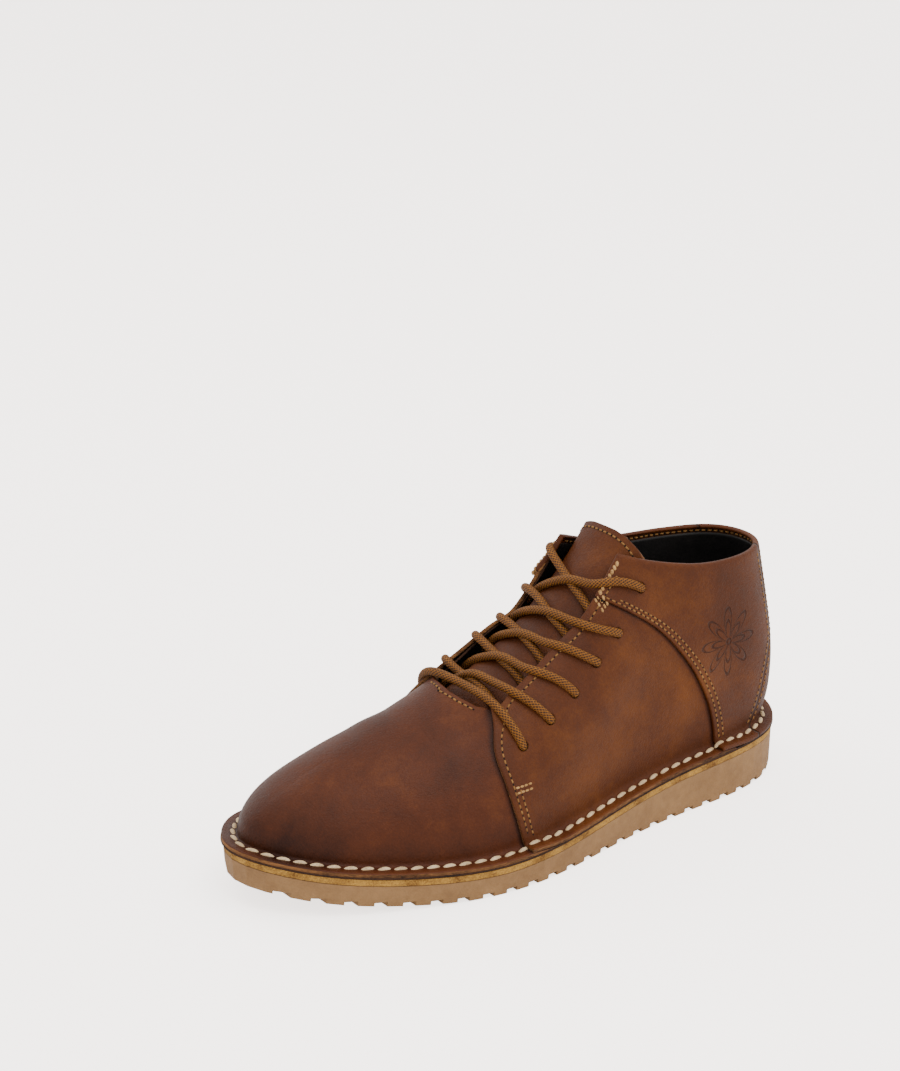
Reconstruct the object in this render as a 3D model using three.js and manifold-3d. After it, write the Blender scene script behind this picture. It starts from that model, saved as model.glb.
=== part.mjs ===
import * as THREE from 'three';
import Module from 'manifold-3d';
import { mergeVertices } from 'three/addons/utils/BufferGeometryUtils.js';

// A left man's chukka boot of soft leather, turned out and sewn down on a flat rubber sole.
// Lengths are in millimetres. The toe points to -X, the outer side of the foot to -Y, up is +Z,
// and the origin is on the floor under the middle of the sole.

const LENGTH = 299;          // sole, heel to toe
const BALL_WIDTH = 106.5;    // sole across the ball of the foot
const HEEL_WIDTH = 80;       // sole across the heel
const HEEL_STACK = 26.2;     // floor to the top of the flange, under the heel
const BALL_STACK = 16.4;     // the same under the ball
const TOE_SPRING = 12;       // lift of the toe tip off the floor
const HEEL_BEVEL = 2;        // lift of the heel's back edge
const MIDSOLE = 3;           // midsole thickness
const INSOLE = 3;            // insole thickness
const WALL = 2.8;            // leather and lining of the upper
const OVERLAP_STEP = 1.6;    // step where one leather piece lies on the next
const OVERLAP_REACH = 22;    // how far behind its edge that step has died away
const FLANGE = 7.5;          // turned-out leather, outside the wall of the upper
const GAP = 0.3;             // clearance between pieces that meet
const LUG_PITCH = 11.6;
const LUG_GROOVE = 5.2;
const LUG_DEPTH = 2;
const SOLE_DRAFT = 1.4;      // the sole's side leans in by this much towards the floor
const COLLAR_HEIGHT = 120;   // top line at the ankle, above the floor
const COLLAR_TILT = 3;       // the top line is this much lower on the inner side
const INSTEP_HEIGHT = 77;    // rear edge of the vamp, above the floor
const ANKLE_WIDTH = 61;      // leg opening, outside
const RIDGE_SWING = 6;       // the ridge of the instep lies this far to the inner side
const ANKLE_SWING = 3;       // the leg opening lies this far to the outer side
const THROAT_HALF = 22;      // half of the gap between the quarters
const THROAT_SWING = 2;      // the middle of the gap lies this far to the inner side
const TONGUE = 2.4;          // tongue leather
const TONGUE_WIDTH = 56;
const LACE = 4;              // lace diameter
const HOLE = 5;              // punched lace hole

const COLUMNS = 76;          // grid columns once round the boot
const ROWS = 12;             // grid rows from the flange to the crest
const SHORTEST_EDGE = 0.02;

const mix = (a, b, t) => a + (b - a) * t;
const smooth = (x, from, to) => THREE.MathUtils.smoothstep(x, from, to);
const rad = THREE.MathUtils.degToRad;
const at = (x, y, z) => new THREE.Vector3(x, y, z);

// Thirteen stations run from the middle of the heel to the tip of the toe. along is a share of the
// length, and the outer and inner edge of the sole are shares of the width at that station.
const plan = [
  { outerAlong: 0.000, outer: 0.025, innerAlong: 0.000, inner: -0.025 },
  { outerAlong: 0.018, outer: 0.268, innerAlong: 0.017, inner: 0.213 },
  { outerAlong: 0.067, outer: 0.450, innerAlong: 0.064, inner: 0.381 },
  { outerAlong: 0.158, outer: 0.544, innerAlong: 0.151, inner: 0.456 },
  { outerAlong: 0.268, outer: 0.548, innerAlong: 0.262, inner: 0.432 },
  { outerAlong: 0.383, outer: 0.524, innerAlong: 0.369, inner: 0.377 },
  { outerAlong: 0.490, outer: 0.527, innerAlong: 0.477, inner: 0.364 },
  { outerAlong: 0.597, outer: 0.540, innerAlong: 0.584, inner: 0.413 },
  { outerAlong: 0.698, outer: 0.512, innerAlong: 0.691, inner: 0.465 },
  { outerAlong: 0.795, outer: 0.423, innerAlong: 0.792, inner: 0.480 },
  { outerAlong: 0.886, outer: 0.305, innerAlong: 0.886, inner: 0.450 },
  { outerAlong: 0.956, outer: 0.150, innerAlong: 0.958, inner: 0.325 },
  { outerAlong: 1.000, outer: -0.085, innerAlong: 1.000, inner: 0.085 },
];

// The crest is the top line of the last: an oval round the leg, then the ridge down to the toe.
// half is a share of the ankle width, low of the instep height and high of the collar height.
const crest = [
  { along: 0.052, half: 0.00, low: 0.00, high: 1.250 },
  { along: 0.062, half: 0.21, low: 0.00, high: 1.250 },
  { along: 0.100, half: 0.39, low: 0.00, high: 1.250 },
  { along: 0.178, half: 0.50, low: 0.00, high: 1.250 },
  { along: 0.282, half: 0.44, low: 0.00, high: 1.250 },
  { along: 0.349, half: 0.18, low: 0.00, high: 1.240 },
  { along: 0.409, half: 0.00, low: 0.35, high: 0.833 },
  { along: 0.517, half: 0.00, low: 0.75, high: 0.327 },
  { along: 0.624, half: 0.00, low: 1.00, high: 0.000 },
  { along: 0.705, half: 0.00, low: 0.90, high: 0.000 },
  { along: 0.775, half: 0.00, low: 0.82, high: 0.000 },
  { along: 0.826, half: 0.00, low: 0.76, high: 0.000 },
  { along: 0.846, half: 0.00, low: 0.73, high: 0.000 },
];

// How the leather runs from the flange up to the crest. flare is the lean at the foot in degrees,
// rise and crown the fullness at the foot and at the top, drop the fall at the crest in degrees. The
// inner side of the boot has its own flare and crown.
const walls = [
  { flare: 30, innerFlare: 30, rise: 0.26, crown: 0.33, innerCrown: 0.33, drop: 90 },
  { flare: 30, innerFlare: 28, rise: 0.26, crown: 0.33, innerCrown: 0.33, drop: 90 },
  { flare: 19, innerFlare: 14, rise: 0.28, crown: 0.33, innerCrown: 0.33, drop: 90 },
  { flare: 5, innerFlare: 5, rise: 0.33, crown: 0.33, innerCrown: 0.33, drop: 90 },
  { flare: 3, innerFlare: 2, rise: 0.33, crown: 0.33, innerCrown: 0.35, drop: 88 },
  { flare: 2, innerFlare: 0, rise: 0.34, crown: 0.33, innerCrown: 0.38, drop: 58 },
  { flare: 3, innerFlare: 0, rise: 0.36, crown: 0.36, innerCrown: 0.41, drop: 14 },
  { flare: 5, innerFlare: 2, rise: 0.38, crown: 0.36, innerCrown: 0.40, drop: 2 },
  { flare: 7, innerFlare: 4, rise: 0.36, crown: 0.35, innerCrown: 0.37, drop: 0 },
  { flare: 8, innerFlare: 5, rise: 0.34, crown: 0.34, innerCrown: 0.34, drop: 0 },
  { flare: 10, innerFlare: 6, rise: 0.33, crown: 0.33, innerCrown: 0.33, drop: 0 },
  { flare: 11, innerFlare: 9, rise: 0.33, crown: 0.33, innerCrown: 0.33, drop: 0 },
  { flare: 12, innerFlare: 12, rise: 0.33, crown: 0.33, innerCrown: 0.33, drop: 0 },
];

const LAST_STATION = plan.length - 1;
const LOOP = 2 * LAST_STATION;

// A smooth closed curve through evenly spaced values: a cubic spline that joins up with itself.
function loopSpline(values) {
  const n = values.length;
  const bend = new Array(n).fill(0);
  for (let pass = 0; pass < 40; pass++) {
    for (let i = 0; i < n; i++) {
      const before = (i + n - 1) % n, after = (i + 1) % n;
      const pull = 6 * (values[before] - 2 * values[i] + values[after]);
      bend[i] = (pull - bend[before] - bend[after]) / 4;
    }
  }
  return (station) => {
    const p = ((station % n) + n) % n;
    const i = Math.floor(p) % n, j = (i + 1) % n;
    const b = p - Math.floor(p), a = 1 - b;
    return a * values[i] + b * values[j] + ((a ** 3 - a) * bend[i] + (b ** 3 - b) * bend[j]) / 6;
  };
}

// Goes once round the boot: down the outer side from heel to toe, and back up the inner side.
function aroundBoot(rows, pick) {
  const outer = rows.map((row) => pick(row, -1));
  const inner = rows.slice(1, -1).reverse().map((row) => pick(row, 1));
  return loopSpline([...outer, ...inner]);
}

const shareAt = (x) => 0.5 - x / LENGTH;
const widthAt = (share) => mix(HEEL_WIDTH, BALL_WIDTH, smooth(share, 0.2, 0.6));
const floorAt = (share) => HEEL_BEVEL * Math.max(0, 1 - share / 0.1) ** 2
  + TOE_SPRING * Math.max(0, (share - 0.66) / 0.34) ** 1.9;
const stackAt = (share) => mix(HEEL_STACK, BALL_STACK, smooth(share, 0.12, 0.68));
const flangeAt = (x) => floorAt(shareAt(x)) + stackAt(shareAt(x));
const middleAt = (share) => mix(-ANKLE_SWING, RIDGE_SWING, smooth(share, 0.1, 0.85));

const planX = aroundBoot(plan, (r, side) => LENGTH * (0.5 - (side < 0 ? r.outerAlong : r.innerAlong)));
const planY = aroundBoot(plan, (r, side) => (side < 0
  ? -r.outer * widthAt(r.outerAlong) : r.inner * widthAt(r.innerAlong)));

// The box of the sole is centred on the origin.
const samples = Array.from({ length: 240 }, (_, i) => planY(LOOP * i / 240));
const SHIFT = -(Math.min(...samples) + Math.max(...samples)) / 2;

// A point of the sole's outline, moved inwards by inset.
function outline(station, inset, z = 0) {
  const step = 0.02;
  const dx = planX(station + step) - planX(station - step);
  const dy = planY(station + step) - planY(station - step);
  const size = Math.hypot(dx, dy);
  return at(planX(station) + inset * dy / size, planY(station) + SHIFT - inset * dx / size, z);
}

const crestX = aroundBoot(crest, (r) => LENGTH * (0.5 - r.along));
const crestHalf = aroundBoot(crest, (r, side) => side * r.half * ANKLE_WIDTH);
const crestZ = aroundBoot(crest, (r) => r.low * INSTEP_HEIGHT + r.high * COLLAR_HEIGHT);
const wall = {};
for (const name of ['rise', 'drop']) wall[name] = aroundBoot(walls, (r) => r[name]);
wall.flare = aroundBoot(walls, (r, side) => (side < 0 ? r.flare : r.innerFlare));
wall.crown = aroundBoot(walls, (r, side) => (side < 0 ? r.crown : r.innerCrown));

function crestPoint(station) {
  const p = ((station % LOOP) + LOOP) % LOOP;
  const x = crestX(p);
  const side = p < LAST_STATION ? -1 : 1;
  const half = Math.max(0, side * crestHalf(p));
  return at(x, SHIFT + middleAt(shareAt(x)) + side * half, crestZ(p));
}

// Slope of the ridge at a station, taken between two points of it nearer the heel.
function ridgeSlope(station) {
  const near = Math.min(station, LOOP - station);
  return (crestZ(near) - crestZ(near - 0.35)) / (crestX(near) - crestX(near - 0.35));
}

// The outside of the upper: at each station a curve that leaves the flange at the wall's lean
// and meets the crest flat across the ridge, or upright round the leg.
function upperPoint(station, t) {
  const foot = outline(station, FLANGE);
  foot.z = flangeAt(foot.x);
  const top = crestPoint(station);
  const reach = foot.distanceTo(top);
  const out = outline(station, 0).sub(outline(station, 1));
  const lean = rad(wall.flare(station));
  const low = out.multiplyScalar(Math.sin(lean)).setZ(Math.cos(lean));
  const flat = at(foot.x - top.x, foot.y - top.y, 0).normalize();
  flat.z = ridgeSlope(station) * flat.x;
  const drop = rad(THREE.MathUtils.clamp(wall.drop(station), 0, 90));
  const high = flat.multiplyScalar(Math.cos(drop)).add(at(0, 0, -Math.sin(drop)));
  low.multiplyScalar(reach * wall.rise(station)).add(foot);
  high.multiplyScalar(reach * wall.crown(station)).add(top);
  return new THREE.CubicBezierCurve3(foot, low, high, top).getPoint(t);
}

function upperNormal(station, t) {
  const up = upperPoint(station, Math.min(t + 0.01, 1)).sub(upperPoint(station, Math.max(t - 0.01, 0)));
  const round = upperPoint(station + 0.03, t).sub(upperPoint(station - 0.03, t));
  return up.cross(round).normalize();
}

const upperOffset = (station, t, distance) => upperPoint(station, t)
  .addScaledVector(upperNormal(station, t), distance);

// Finds the station and t of the point of one side of the upper that has this x and this value on
// a second axis: z for a place drawn in the side view, y for one drawn from above.
function spotAt(side, x, value, axis = 'z') {
  let station = side < 0 ? LAST_STATION * shareAt(x) : LOOP - LAST_STATION * shareAt(x);
  let t = axis === 'z' ? 0.5 : 0.8;
  for (let pass = 0; pass < 30; pass++) {
    const here = upperPoint(station, t);
    const alongStation = upperPoint(station + 0.02, t).sub(here).divideScalar(0.02);
    const alongT = upperPoint(station, t - 0.002).sub(here).divideScalar(-0.002);
    const missX = x - here.x, miss = value - here[axis];
    const area = alongStation.x * alongT[axis] - alongStation[axis] * alongT.x;
    const moveStation = (missX * alongT[axis] - miss * alongT.x) / area;
    const moveT = (alongStation.x * miss - alongStation[axis] * missX) / area;
    station += THREE.MathUtils.clamp(moveStation, -0.6, 0.6);
    t = THREE.MathUtils.clamp(t + THREE.MathUtils.clamp(moveT, -0.1, 0.1), 0, 1);
  }
  return { station, t };
}

// The t at which the outside of the upper reaches a height.
function riseTo(station, height) {
  let low = 0, high = 1;
  for (let pass = 0; pass < 30; pass++) {
    const t = (low + high) / 2;
    if (upperPoint(station, t).z < height) low = t; else high = t;
  }
  return low;
}

const wasm = await Module();
wasm.setup();

// Turns a closed list of triangles into a solid that can be cut and joined.
function toSolid(geometry) {
  geometry.deleteAttribute('normal');
  geometry.deleteAttribute('uv');
  const merged = mergeVertices(geometry, 1e-3);
  const index = merged.index.array;
  const kept = [];
  for (let i = 0; i < index.length; i += 3) {
    const [a, b, c] = [index[i], index[i + 1], index[i + 2]];
    if (a !== b && b !== c && a !== c) kept.push(a, b, c);
  }
  return new wasm.Manifold(new wasm.Mesh({
    numProp: 3,
    vertProperties: Float32Array.from(merged.attributes.position.array),
    triVerts: Uint32Array.from(kept),
  }));
}

// Cutting leaves a few edges of almost no length: the ends of each are made one point, and two
// triangles that then lie back to back are both left out.
function toGeometry(solid) {
  const mesh = solid.getMesh();
  const points = mesh.vertProperties;
  const triangles = Array.from(mesh.triVerts);
  const same = Array.from({ length: points.length / 3 }, (_, i) => i);
  const first = (i) => (same[i] === i ? i : first(same[i]));
  const apart = (a, b) => Math.hypot(points[3 * a] - points[3 * b],
    points[3 * a + 1] - points[3 * b + 1], points[3 * a + 2] - points[3 * b + 2]);
  for (let i = 0; i < triangles.length; i++) {
    const a = first(triangles[i]), b = first(triangles[i % 3 === 2 ? i - 2 : i + 1]);
    if (a !== b && apart(a, b) < SHORTEST_EDGE) same[Math.max(a, b)] = Math.min(a, b);
  }
  const kept = new Map();
  for (let i = 0; i < triangles.length; i += 3) {
    const corners = triangles.slice(i, i + 3).map(first);
    const key = [...corners].sort((a, b) => a - b).join();
    if (new Set(corners).size < 3) continue;
    if (kept.has(key)) kept.delete(key); else kept.set(key, corners);
  }
  const geometry = new THREE.BufferGeometry();
  geometry.setAttribute('position', new THREE.BufferAttribute(points, 3));
  geometry.setIndex([...kept.values()].flat());
  geometry.computeVertexNormals();
  return geometry;
}

function fromTriangles(points, triangles) {
  const geometry = new THREE.BufferGeometry();
  geometry.setFromPoints(points);
  geometry.setIndex(triangles);
  return geometry;
}

// A solid skin over rings of points stacked from the bottom up. Each ring goes once round the boot,
// and the bottom and the top are closed by strips from the outer side to the inner side.
function stackOfRings(rings) {
  const n = rings[0].length;
  const triangles = [];
  const id = (ring, column) => ring * n + (column % n);
  for (let r = 0; r + 1 < rings.length; r++) {
    for (let c = 0; c < n; c++) {
      triangles.push(id(r, c), id(r + 1, c), id(r, c + 1));
      triangles.push(id(r + 1, c), id(r + 1, c + 1), id(r, c + 1));
    }
  }
  const top = rings.length - 1;
  for (let c = 0; c < n / 2; c++) {
    triangles.push(id(top, c), id(top, n - c), id(top, c + 1));
    triangles.push(id(top, n - c), id(top, n - c - 1), id(top, c + 1));
    triangles.push(id(0, c), id(0, c + 1), id(0, n - c));
    triangles.push(id(0, n - c), id(0, c + 1), id(0, n - c - 1));
  }
  return toSolid(fromTriangles(rings.flat(), triangles));
}

const stations = Array.from({ length: COLUMNS }, (_, c) => LOOP * c / COLUMNS);
const ringOf = (place) => stations.map(place);

// A plate that follows the sole: inset from its outline, between two heights above the floor line.
function soleRing(inset, heightAt) {
  return ringOf((station) => {
    const p = outline(station, inset);
    return p.setZ(heightAt(p.x));
  });
}

// A closed block from a grid of outer points and a grid of inner points behind them.
function blockOfGrids(front, back) {
  const rows = front.length, n = front[0].length;
  const triangles = [];
  const id = (layer, r, c) => (layer * rows + r) * n + c;
  const quad = (a, b, c, d) => triangles.push(a, b, c, a, c, d);
  for (let r = 0; r + 1 < rows; r++) {
    for (let c = 0; c + 1 < n; c++) {
      quad(id(0, r, c), id(0, r, c + 1), id(0, r + 1, c + 1), id(0, r + 1, c));
      quad(id(1, r, c), id(1, r + 1, c), id(1, r + 1, c + 1), id(1, r, c + 1));
    }
    quad(id(0, r, 0), id(0, r + 1, 0), id(1, r + 1, 0), id(1, r, 0));
    quad(id(0, r + 1, n - 1), id(0, r, n - 1), id(1, r, n - 1), id(1, r + 1, n - 1));
  }
  for (let c = 0; c + 1 < n; c++) {
    quad(id(0, 0, c + 1), id(0, 0, c), id(1, 0, c), id(1, 0, c + 1));
    quad(id(0, rows - 1, c), id(0, rows - 1, c + 1), id(1, rows - 1, c + 1), id(1, rows - 1, c));
  }
  const solid = toSolid(fromTriangles([...front.flat(), ...back.flat()], triangles));
  return solid.volume() < 0 ? toSolid(fromTriangles([...front.flat(), ...back.flat()],
    triangles.reverse())) : solid;
}

// A tube along a smooth line of points.
function tube(points, diameter, sides, steps) {
  const ring = new THREE.Shape();
  for (let i = 0; i < sides; i++) {
    const turn = 2 * Math.PI * i / sides;
    const x = Math.cos(turn) * diameter / 2, y = Math.sin(turn) * diameter / 2;
    if (i === 0) ring.moveTo(x, y); else ring.lineTo(x, y);
  }
  const path = new THREE.CatmullRomCurve3(points, false, 'centripetal');
  return toSolid(new THREE.ExtrudeGeometry(ring, { steps, extrudePath: path, bevelEnabled: false }));
}

// A block with an outline drawn in the side view, right across the boot. Its height changes by
// tilt for each millimetre towards the inner side.
function sideBlock(corners, reach, tilt = 0) {
  const shape = new THREE.Shape(corners.map(([x, z]) => new THREE.Vector2(x, z)));
  const geometry = new THREE.ExtrudeGeometry(shape, { depth: 2 * reach, bevelEnabled: false });
  geometry.rotateX(Math.PI / 2);
  geometry.translate(0, reach, 0);
  geometry.applyMatrix4(new THREE.Matrix4().makeShear(0, 0, 0, tilt, 0, 0));
  return toSolid(geometry);
}

const xAt = (share) => LENGTH * (0.5 - share);

// Outsole: a rubber wedge with a plain side and lugs cut straight across its tread.
function makeOutsole() {
  const top = (x) => flangeAt(x) - WALL - MIDSOLE - 2 * GAP;
  const floor = (x) => floorAt(shareAt(x));
  let solid = stackOfRings([
    soleRing(SOLE_DRAFT, floor),
    soleRing(SOLE_DRAFT * 0.7, (x) => floor(x) + LUG_DEPTH * 1.5),
    soleRing(0.6, top),
  ]);
  const grooves = Math.floor(LENGTH / LUG_PITCH);
  for (let i = 0; i < grooves; i++) {
    const x = LENGTH / 2 - LUG_PITCH * (i + 0.75);
    const ceiling = floor(x) + LUG_DEPTH;
    solid = solid.subtract(sideBlock([
      [x - LUG_GROOVE / 2, -LUG_PITCH], [x + LUG_GROOVE / 2, -LUG_PITCH],
      [x + LUG_GROOVE / 2, ceiling], [x - LUG_GROOVE / 2, ceiling],
    ], BALL_WIDTH));
  }
  return solid;
}

// Midsole: a thin firm layer that follows the flange above it.
function makeMidsole() {
  return stackOfRings([
    soleRing(0.5, (x) => flangeAt(x) - WALL - GAP - MIDSOLE),
    soleRing(0.2, (x) => flangeAt(x) - WALL - GAP),
  ]);
}

// Insole: lies on the midsole, inside the wall of the upper.
function makeInsole() {
  const inset = FLANGE + WALL + 2 * GAP;
  return stackOfRings([
    soleRing(inset, (x) => flangeAt(x) - WALL),
    soleRing(inset, (x) => flangeAt(x) - WALL + INSOLE),
  ]);
}

// The seams are drawn in the side view, the same on both sides of the boot. along is a share of
// the length. low and high are shares of the instep and the collar height.
const frontEdge = [
  { along: 0.612, low: 0.18, high: 0.00 },
  { along: 0.626, low: 0.38, high: 0.00 },
  { along: 0.635, low: 0.60, high: 0.00 },
  { along: 0.633, low: 0.76, high: 0.00 },
  { along: 0.612, low: 0.90, high: 0.00 },
];
const rearEdge = [
  { along: 0.190, low: 0.20, high: 0.00 },
  { along: 0.198, low: 0.45, high: 0.00 },
  { along: 0.218, low: 0.70, high: 0.00 },
  { along: 0.262, low: 0.00, high: 0.64 },
  { along: 0.322, low: 0.00, high: 0.80 },
  { along: 0.420, low: 0.00, high: 0.96 },
];
const heightOf = (row) => row.low * INSTEP_HEIGHT + row.high * COLLAR_HEIGHT;

// The raised edge of a leather piece that lies on the piece before it, dying away behind the edge.
function overlapStep(side, seam) {
  const line = new THREE.CatmullRomCurve3(seam.map((r) => at(xAt(r.along), 0, heightOf(r))));
  const front = [], back = [];
  const lengthwise = 12, across = 4;
  for (let i = 0; i <= lengthwise; i++) {
    const p = line.getPoint(i / lengthwise);
    const outerRow = [], innerRow = [];
    for (let j = 0; j <= across; j++) {
      const behind = j / across;
      const spot = spotAt(side, p.x + behind * OVERLAP_REACH, p.z);
      outerRow.push(upperOffset(spot.station, spot.t, mix(OVERLAP_STEP, -0.2, behind)));
      innerRow.push(upperOffset(spot.station, spot.t, -WALL / 2));
    }
    front.push(outerRow);
    back.push(innerRow);
  }
  return blockOfGrids(front, back);
}

// The top line round the leg, in the side view.
const collarLine = [
  { along: -0.060, height: 0.975 },
  { along: 0.020, height: 0.970 },
  { along: 0.130, height: 0.965 },
  { along: 0.235, height: 0.985 },
  { along: 0.310, height: 1.030 },
  { along: 0.365, height: 1.080 },
  { along: 0.420, height: 1.115 },
];

// The throat, from the top corner of the quarters down to the rear edge of the vamp, seen from above.
const throat = [
  { along: 0.290, half: 0.86 },
  { along: 0.370, half: 0.92 },
  { along: 0.480, half: 1.00 },
  { along: 0.570, half: 1.02 },
  { along: 0.604, half: 0.98 },
  { along: 0.618, half: 0.72 },
  { along: 0.626, half: 0.33 },
];

// The lace holes. raised is the share of the overlap's step that lies under the lace there. The
// strand from a hole passes over its own quarter's edge at outerOver or innerOver, meets the other
// strand at cross, and goes under the opposite edge at outerUnder or innerUnder. These are shares of
// the length. across is where the strands meet, a share of the half gap towards the inner side.
const holes = [
  { along: 0.332, high: 0.945, raised: 0.95, outerOver: 0.393, innerOver: 0.380, cross: 0.405,
    across: -0.30, outerUnder: 0.408, innerUnder: 0.413 },
  { along: 0.386, high: 0.803, raised: 0.9, outerOver: 0.443, innerOver: 0.423, cross: 0.452,
    across: -0.42, outerUnder: 0.450, innerUnder: 0.455 },
  { along: 0.433, high: 0.718, raised: 0.2, outerOver: 0.487, innerOver: 0.476, cross: 0.493,
    across: -0.28, outerUnder: 0.496, innerUnder: 0.495 },
  { along: 0.484, high: 0.635, raised: 0.2, outerOver: 0.532, innerOver: 0.520, cross: 0.535,
    across: -0.27, outerUnder: 0.535, innerUnder: 0.540 },
  { along: 0.537, high: 0.568, raised: 0.3, outerOver: 0.571, innerOver: 0.575, cross: 0.580,
    across: 0.15, outerUnder: 0.588, innerUnder: 0.585 },
  { along: 0.591, high: 0.500, raised: 0.9, outerOver: 0.599, innerOver: 0.608 },
];

const holeSpot = (side, hole) => spotAt(side, xAt(hole.along), hole.high * COLLAR_HEIGHT);

// Everything inside the upper's outer surface moved in by depth, starting below the flange.
function insideOf(depth, below) {
  const levels = Array.from({ length: ROWS + 1 }, (_, r) => r / ROWS);
  return stackOfRings([
    soleRing(FLANGE + depth, (x) => flangeAt(x) - below),
    ...levels.map((t) => ringOf((station) => upperOffset(station, t, -depth))),
  ]);
}

function makeUpper() {
  const flange = stackOfRings([
    soleRing(0, (x) => flangeAt(x) - WALL),
    soleRing(0, flangeAt),
    soleRing(FLANGE - WALL * 0.7, flangeAt),
    soleRing(FLANGE + WALL / 2, (x) => flangeAt(x) + WALL),
  ]);
  let solid = insideOf(0, WALL / 2).add(flange);
  for (const side of [-1, 1]) {
    solid = solid.add(overlapStep(side, frontEdge)).add(overlapStep(side, rearEdge));
  }
  solid = solid.subtract(insideOf(WALL, 2 * WALL));

  const top = collarLine.map((r) => [xAt(r.along), r.height * COLLAR_HEIGHT]);
  const ceiling = 2 * COLLAR_HEIGHT;
  solid = solid.subtract(sideBlock([
    ...top, [top.at(-1)[0], ceiling], [top[0][0], ceiling],
  ], ANKLE_WIDTH, -COLLAR_TILT / ANKLE_WIDTH));

  const near = throat.map((r) => [xAt(r.along), THROAT_SWING - r.half * THROAT_HALF]);
  const far = throat.map((r) => [xAt(r.along), THROAT_SWING + r.half * THROAT_HALF]);
  const opening = new THREE.Shape([...near, ...far.reverse()]
    .map(([x, y]) => new THREE.Vector2(x, y)));
  const throatBlock = new THREE.ExtrudeGeometry(opening, { depth: ceiling, bevelEnabled: false });
  throatBlock.translate(0, 0, INSTEP_HEIGHT / 2);
  solid = solid.subtract(toSolid(throatBlock));

  for (const side of [-1, 1]) {
    for (const hole of holes) {
      const { station, t } = holeSpot(side, hole);
      const punch = new THREE.CylinderGeometry(HOLE / 2, HOLE / 2, 6 * WALL, 12);
      const turn = new THREE.Quaternion().setFromUnitVectors(at(0, 1, 0), upperNormal(station, t));
      punch.applyQuaternion(turn);
      const centre = upperPoint(station, t);
      punch.translate(centre.x, centre.y, centre.z);
      solid = solid.subtract(toSolid(punch));
    }
  }
  return solid;
}

// The tongue's middle line in the side view, from its end under the vamp to its rounded top. half is
// a share of the tongue's width, low of the instep height and high of the collar height.
const tongueLine = [
  { along: 0.690, low: 0.845, high: 0.000, half: 0.36 },
  { along: 0.624, low: 0.900, high: 0.000, half: 0.42 },
  { along: 0.517, low: 0.000, high: 0.708, half: 0.46 },
  { along: 0.409, low: 0.000, high: 0.907, half: 0.50 },
  { along: 0.362, low: 0.000, high: 1.035, half: 0.50 },
  { along: 0.328, low: 0.000, high: 1.133, half: 0.50 },
];
const TONGUE_ARCH = 0.011;   // fall of the tongue from its middle, per square millimetre
const TONGUE_ROUND = 0.2;    // share of the tongue's length that its rounded top takes

const tonguePath = new THREE.CatmullRomCurve3(tongueLine.map((r) => at(xAt(r.along), 0, heightOf(r))));
const tongueHalf = new THREE.CatmullRomCurve3(tongueLine.map((r) => at(r.half * TONGUE_WIDTH, 0, 0)));

// A point of the tongue: v runs up its length, y across it from the middle, depth into its leather.
function tongueAt(v, y, depth) {
  const p = tonguePath.getPoint(v), along = tonguePath.getTangent(v);
  const fall = TONGUE_ARCH * y * y + depth;
  return at(p.x + fall * along.z, THROAT_SWING + y, p.z - fall * along.x);
}

function tongueHalfAt(v) {
  const past = Math.max(0, (v - (1 - TONGUE_ROUND)) / TONGUE_ROUND);
  return tongueHalf.getPoint(v).x * Math.sqrt(Math.max(0.02, 1 - past ** 3));
}

function makeTongue() {
  const lengthwise = 12, across = 6;
  const grid = (depth) => Array.from({ length: lengthwise + 1 }, (_, i) => Array.from(
    { length: across + 1 }, (_, j) => tongueAt(i / lengthwise,
      (2 * j / across - 1) * tongueHalfAt(i / lengthwise), depth)));
  return blockOfGrids(grid(0), grid(TONGUE)).intersect(insideOf(WALL + 2 * GAP, 0));
}

// Heel tab: a small folded strip of dark leather on the back.
function makeHeelTab() {
  const half = 0.28, middle = 0.78 * COLLAR_HEIGHT, height = 6;
  const grid = (distance) => [-0.5, 0, 0.5].map((up) => [-half, -half / 2, 0, half / 2, half].map(
    (station) => upperOffset(station, riseTo(station, middle + up * height), distance)));
  return blockOfGrids(grid(GAP + 2), grid(GAP));
}

// The lace. Each strand lies on its own quarter from the hole to the throat, crosses over the
// tongue towards the next hole down on the other side, and stops short of that quarter, which
// covers the rest.
const LACE_REST = LACE / 2 + 2 * GAP;
const laceLift = (hole) => LACE_REST + holes[hole].raised * OVERLAP_STEP;

function edgeSpot(side, x) {
  return spotAt(side, x, THROAT_SWING + side * THROAT_HALF, 'y');
}

// A point over the quarter, a share of the way from a hole to where its strand crosses the edge.
function overQuarter(side, hole, share) {
  const edge = side < 0 ? holes[hole].outerOver : holes[hole].innerOver;
  const from = holeSpot(side, holes[hole]), to = edgeSpot(side, xAt(edge));
  return upperOffset(mix(from.station, to.station, share), mix(from.t, to.t, share), laceLift(hole));
}

// A point over the tongue. across runs from -1 at the outer quarter's edge to 1 at the inner one's.
function overTongue(across, x, lift) {
  let low = 0, high = 1;
  for (let pass = 0; pass < 30; pass++) {
    const v = (low + high) / 2;
    if (tongueAt(v, across * THROAT_HALF, -lift).x < x) low = v; else high = v;
  }
  return tongueAt(low, across * THROAT_HALF, -lift);
}

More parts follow.
